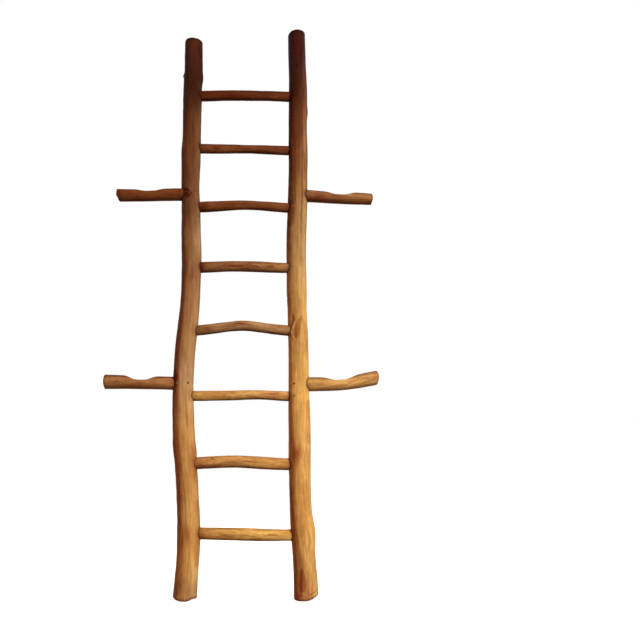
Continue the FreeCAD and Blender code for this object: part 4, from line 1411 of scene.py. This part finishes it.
# White floor: its own glow is topped up to plain white, so that only the light that the
# ladder takes away shows, as a soft shadow round the feet
studioFloor = {
    "halfSize": 7.0,
    "glow": 0.86,                        # near the ladder
    "shadowReach": (0.30, 0.80),         # the glow rises to 1 between these distances
    "seen": (0.90, 0.90, 0.90, 1),
    "unseen": (0.10, 0.06, 0.045, 1),    # what it throws back on the wood
}


# A square whose glow is a straight ramp of the distance from the ladder
def buildStage():
    half = studioFloor["halfSize"]
    corners = [(x * half, y * half, 0) for x, y in ((-1, -1), (1, -1), (1, 1), (-1, 1))]
    mesh = bpy.data.meshes.new("floor")
    mesh.from_pydata(corners, [], [(0, 1, 2, 3)])
    floor = bpy.data.objects.new("floor", mesh)
    bpy.context.scene.collection.objects.link(floor)
    material = bpy.data.materials.new("paleFloor")
    material.use_nodes = True
    tree = material.node_tree
    tree.nodes.clear()
    away = vectors(tree, "LENGTH", objectPlace(tree), output="Value")
    seen = directView(tree)
    glow = remap(tree, away, *studioFloor["shadowReach"], studioFloor["glow"], 1.0)
    paint = blend(tree, seen, studioFloor["unseen"], studioFloor["seen"])
    lit = addNode(tree, "ShaderNodeBsdfDiffuse", {"Color": paint}).outputs[0]
    strength = calculate(tree, "MULTIPLY", glow, seen)
    plain = addNode(tree, "ShaderNodeEmission", {"Strength": strength}).outputs[0]
    both = addNode(tree, "ShaderNodeAddShader", {0: lit, 1: plain}).outputs[0]
    addNode(tree, "ShaderNodeOutputMaterial", {0: both})
    mesh.materials.append(material)


# Soft studio light: one tall lamp on the right in front, a weak one on the left, one behind,
# and a surround that is white where the camera, a reflection or glass sees it
lampTable = {
    "keyLight": {"place": (1.60, -1.95, 1.82), "size": (0.7, 1.0),
                 "watts": 74, "colour": (1.0, 0.99, 0.98)},
    "fillLight": {"place": (-1.2, -1.3, 2.4), "size": (1.2, 1.2),
                  "watts": 7, "colour": (1.0, 0.50, 0.34)},
    "backLight": {"place": (0.2, 3.0, 1.6), "size": (1.2, 1.6),
                  "watts": 45, "colour": (1.0, 0.80, 0.66)},
}
lampAim = (0.0, 0.0, 0.95)
surround = {"strength": 0.22, "colour": (1.0, 0.40, 0.26, 1)}


# A lamp shines along its own -Z: it is tipped by the angle of its aim from straight down, and
# turned by the aim's compass angle
def buildLight():
    for name, lampSpec in lampTable.items():
        data = bpy.data.lights.new(name, "AREA")
        data.shape = "RECTANGLE"
        data.size, data.size_y = lampSpec["size"]
        data.energy = lampSpec["watts"]
        data.color = lampSpec["colour"]
        lamp = bpy.data.objects.new(name, data)
        lamp.location = lampSpec["place"]
        x, y, z = np.array(lampAim) - np.array(lampSpec["place"])
        lamp.rotation_euler = (math.atan2(math.hypot(x, y), -z), 0, math.atan2(y, x) - math.pi / 2)
        bpy.context.scene.collection.objects.link(lamp)
    world = bpy.data.worlds.new("surround")
    bpy.context.scene.world = world
    world.use_nodes = True
    tree = world.node_tree
    tree.nodes.clear()
    mixed = addNode(tree, "ShaderNodeMixShader", {0: directView(tree)})
    for key, colour, strength in ((1, surround["colour"], surround["strength"]), (2, white, 1.0)):
        shade = addNode(tree, "ShaderNodeBackground", {"Color": colour, "Strength": strength})
        tree.links.new(shade.outputs[0], mixed.inputs[key])
    addNode(tree, "ShaderNodeOutputWorld", {0: mixed.outputs[0]})
    bpy.context.scene.view_settings.view_transform = "Standard"


# The whole scene, stage by stage
def main():
    buildCamera()
    materials = makeMaterials()
    print("materials ready:", len(materials))
    sawn = materials["sawnEnd"]
    poles = {"left": leftPole, "right": rightPole}
    for label, pole in poles.items():
        joints = poleJoints(pole)
        buildPole(label + "Pole", label + "_pole", pole, joints, [materials["poleTeak"], sawn])
    print("poles built")
    for number in range(len(rungs)):
        buildRung(number, [materials["rungTeak"], sawn])
    print("rungs built:", len(rungs))
    for name in pegs:
        buildPeg(name, [materials["pegTeak"], sawn])
    print("pegs built:", len(pegs))
    for end, (label, pole) in enumerate(poles.items()):
        inward = -pole["side"] * dowels["rungOffset"]
        outer = dowels["pegOffset"]
        roots = [pegRoot(name)[1] for name in pegs if label in name]
        places = {
            "Rung": [(rungEnds(number)[end], inward) for number in range(len(rungs))],
            "Peg": [(root, offset) for root in roots for offset in (-outer, outer)],
        }
        for kind in places:
            buildDowels(label + kind + "Dowels", label + "_" + kind.lower() + "_dowels", pole,
                        places[kind], dowels[label + kind + "Heads"], [materials["dowelWood"]])
    print("dowels built")
    buildStage()
    buildLight()
    print("stage and light ready")


main()
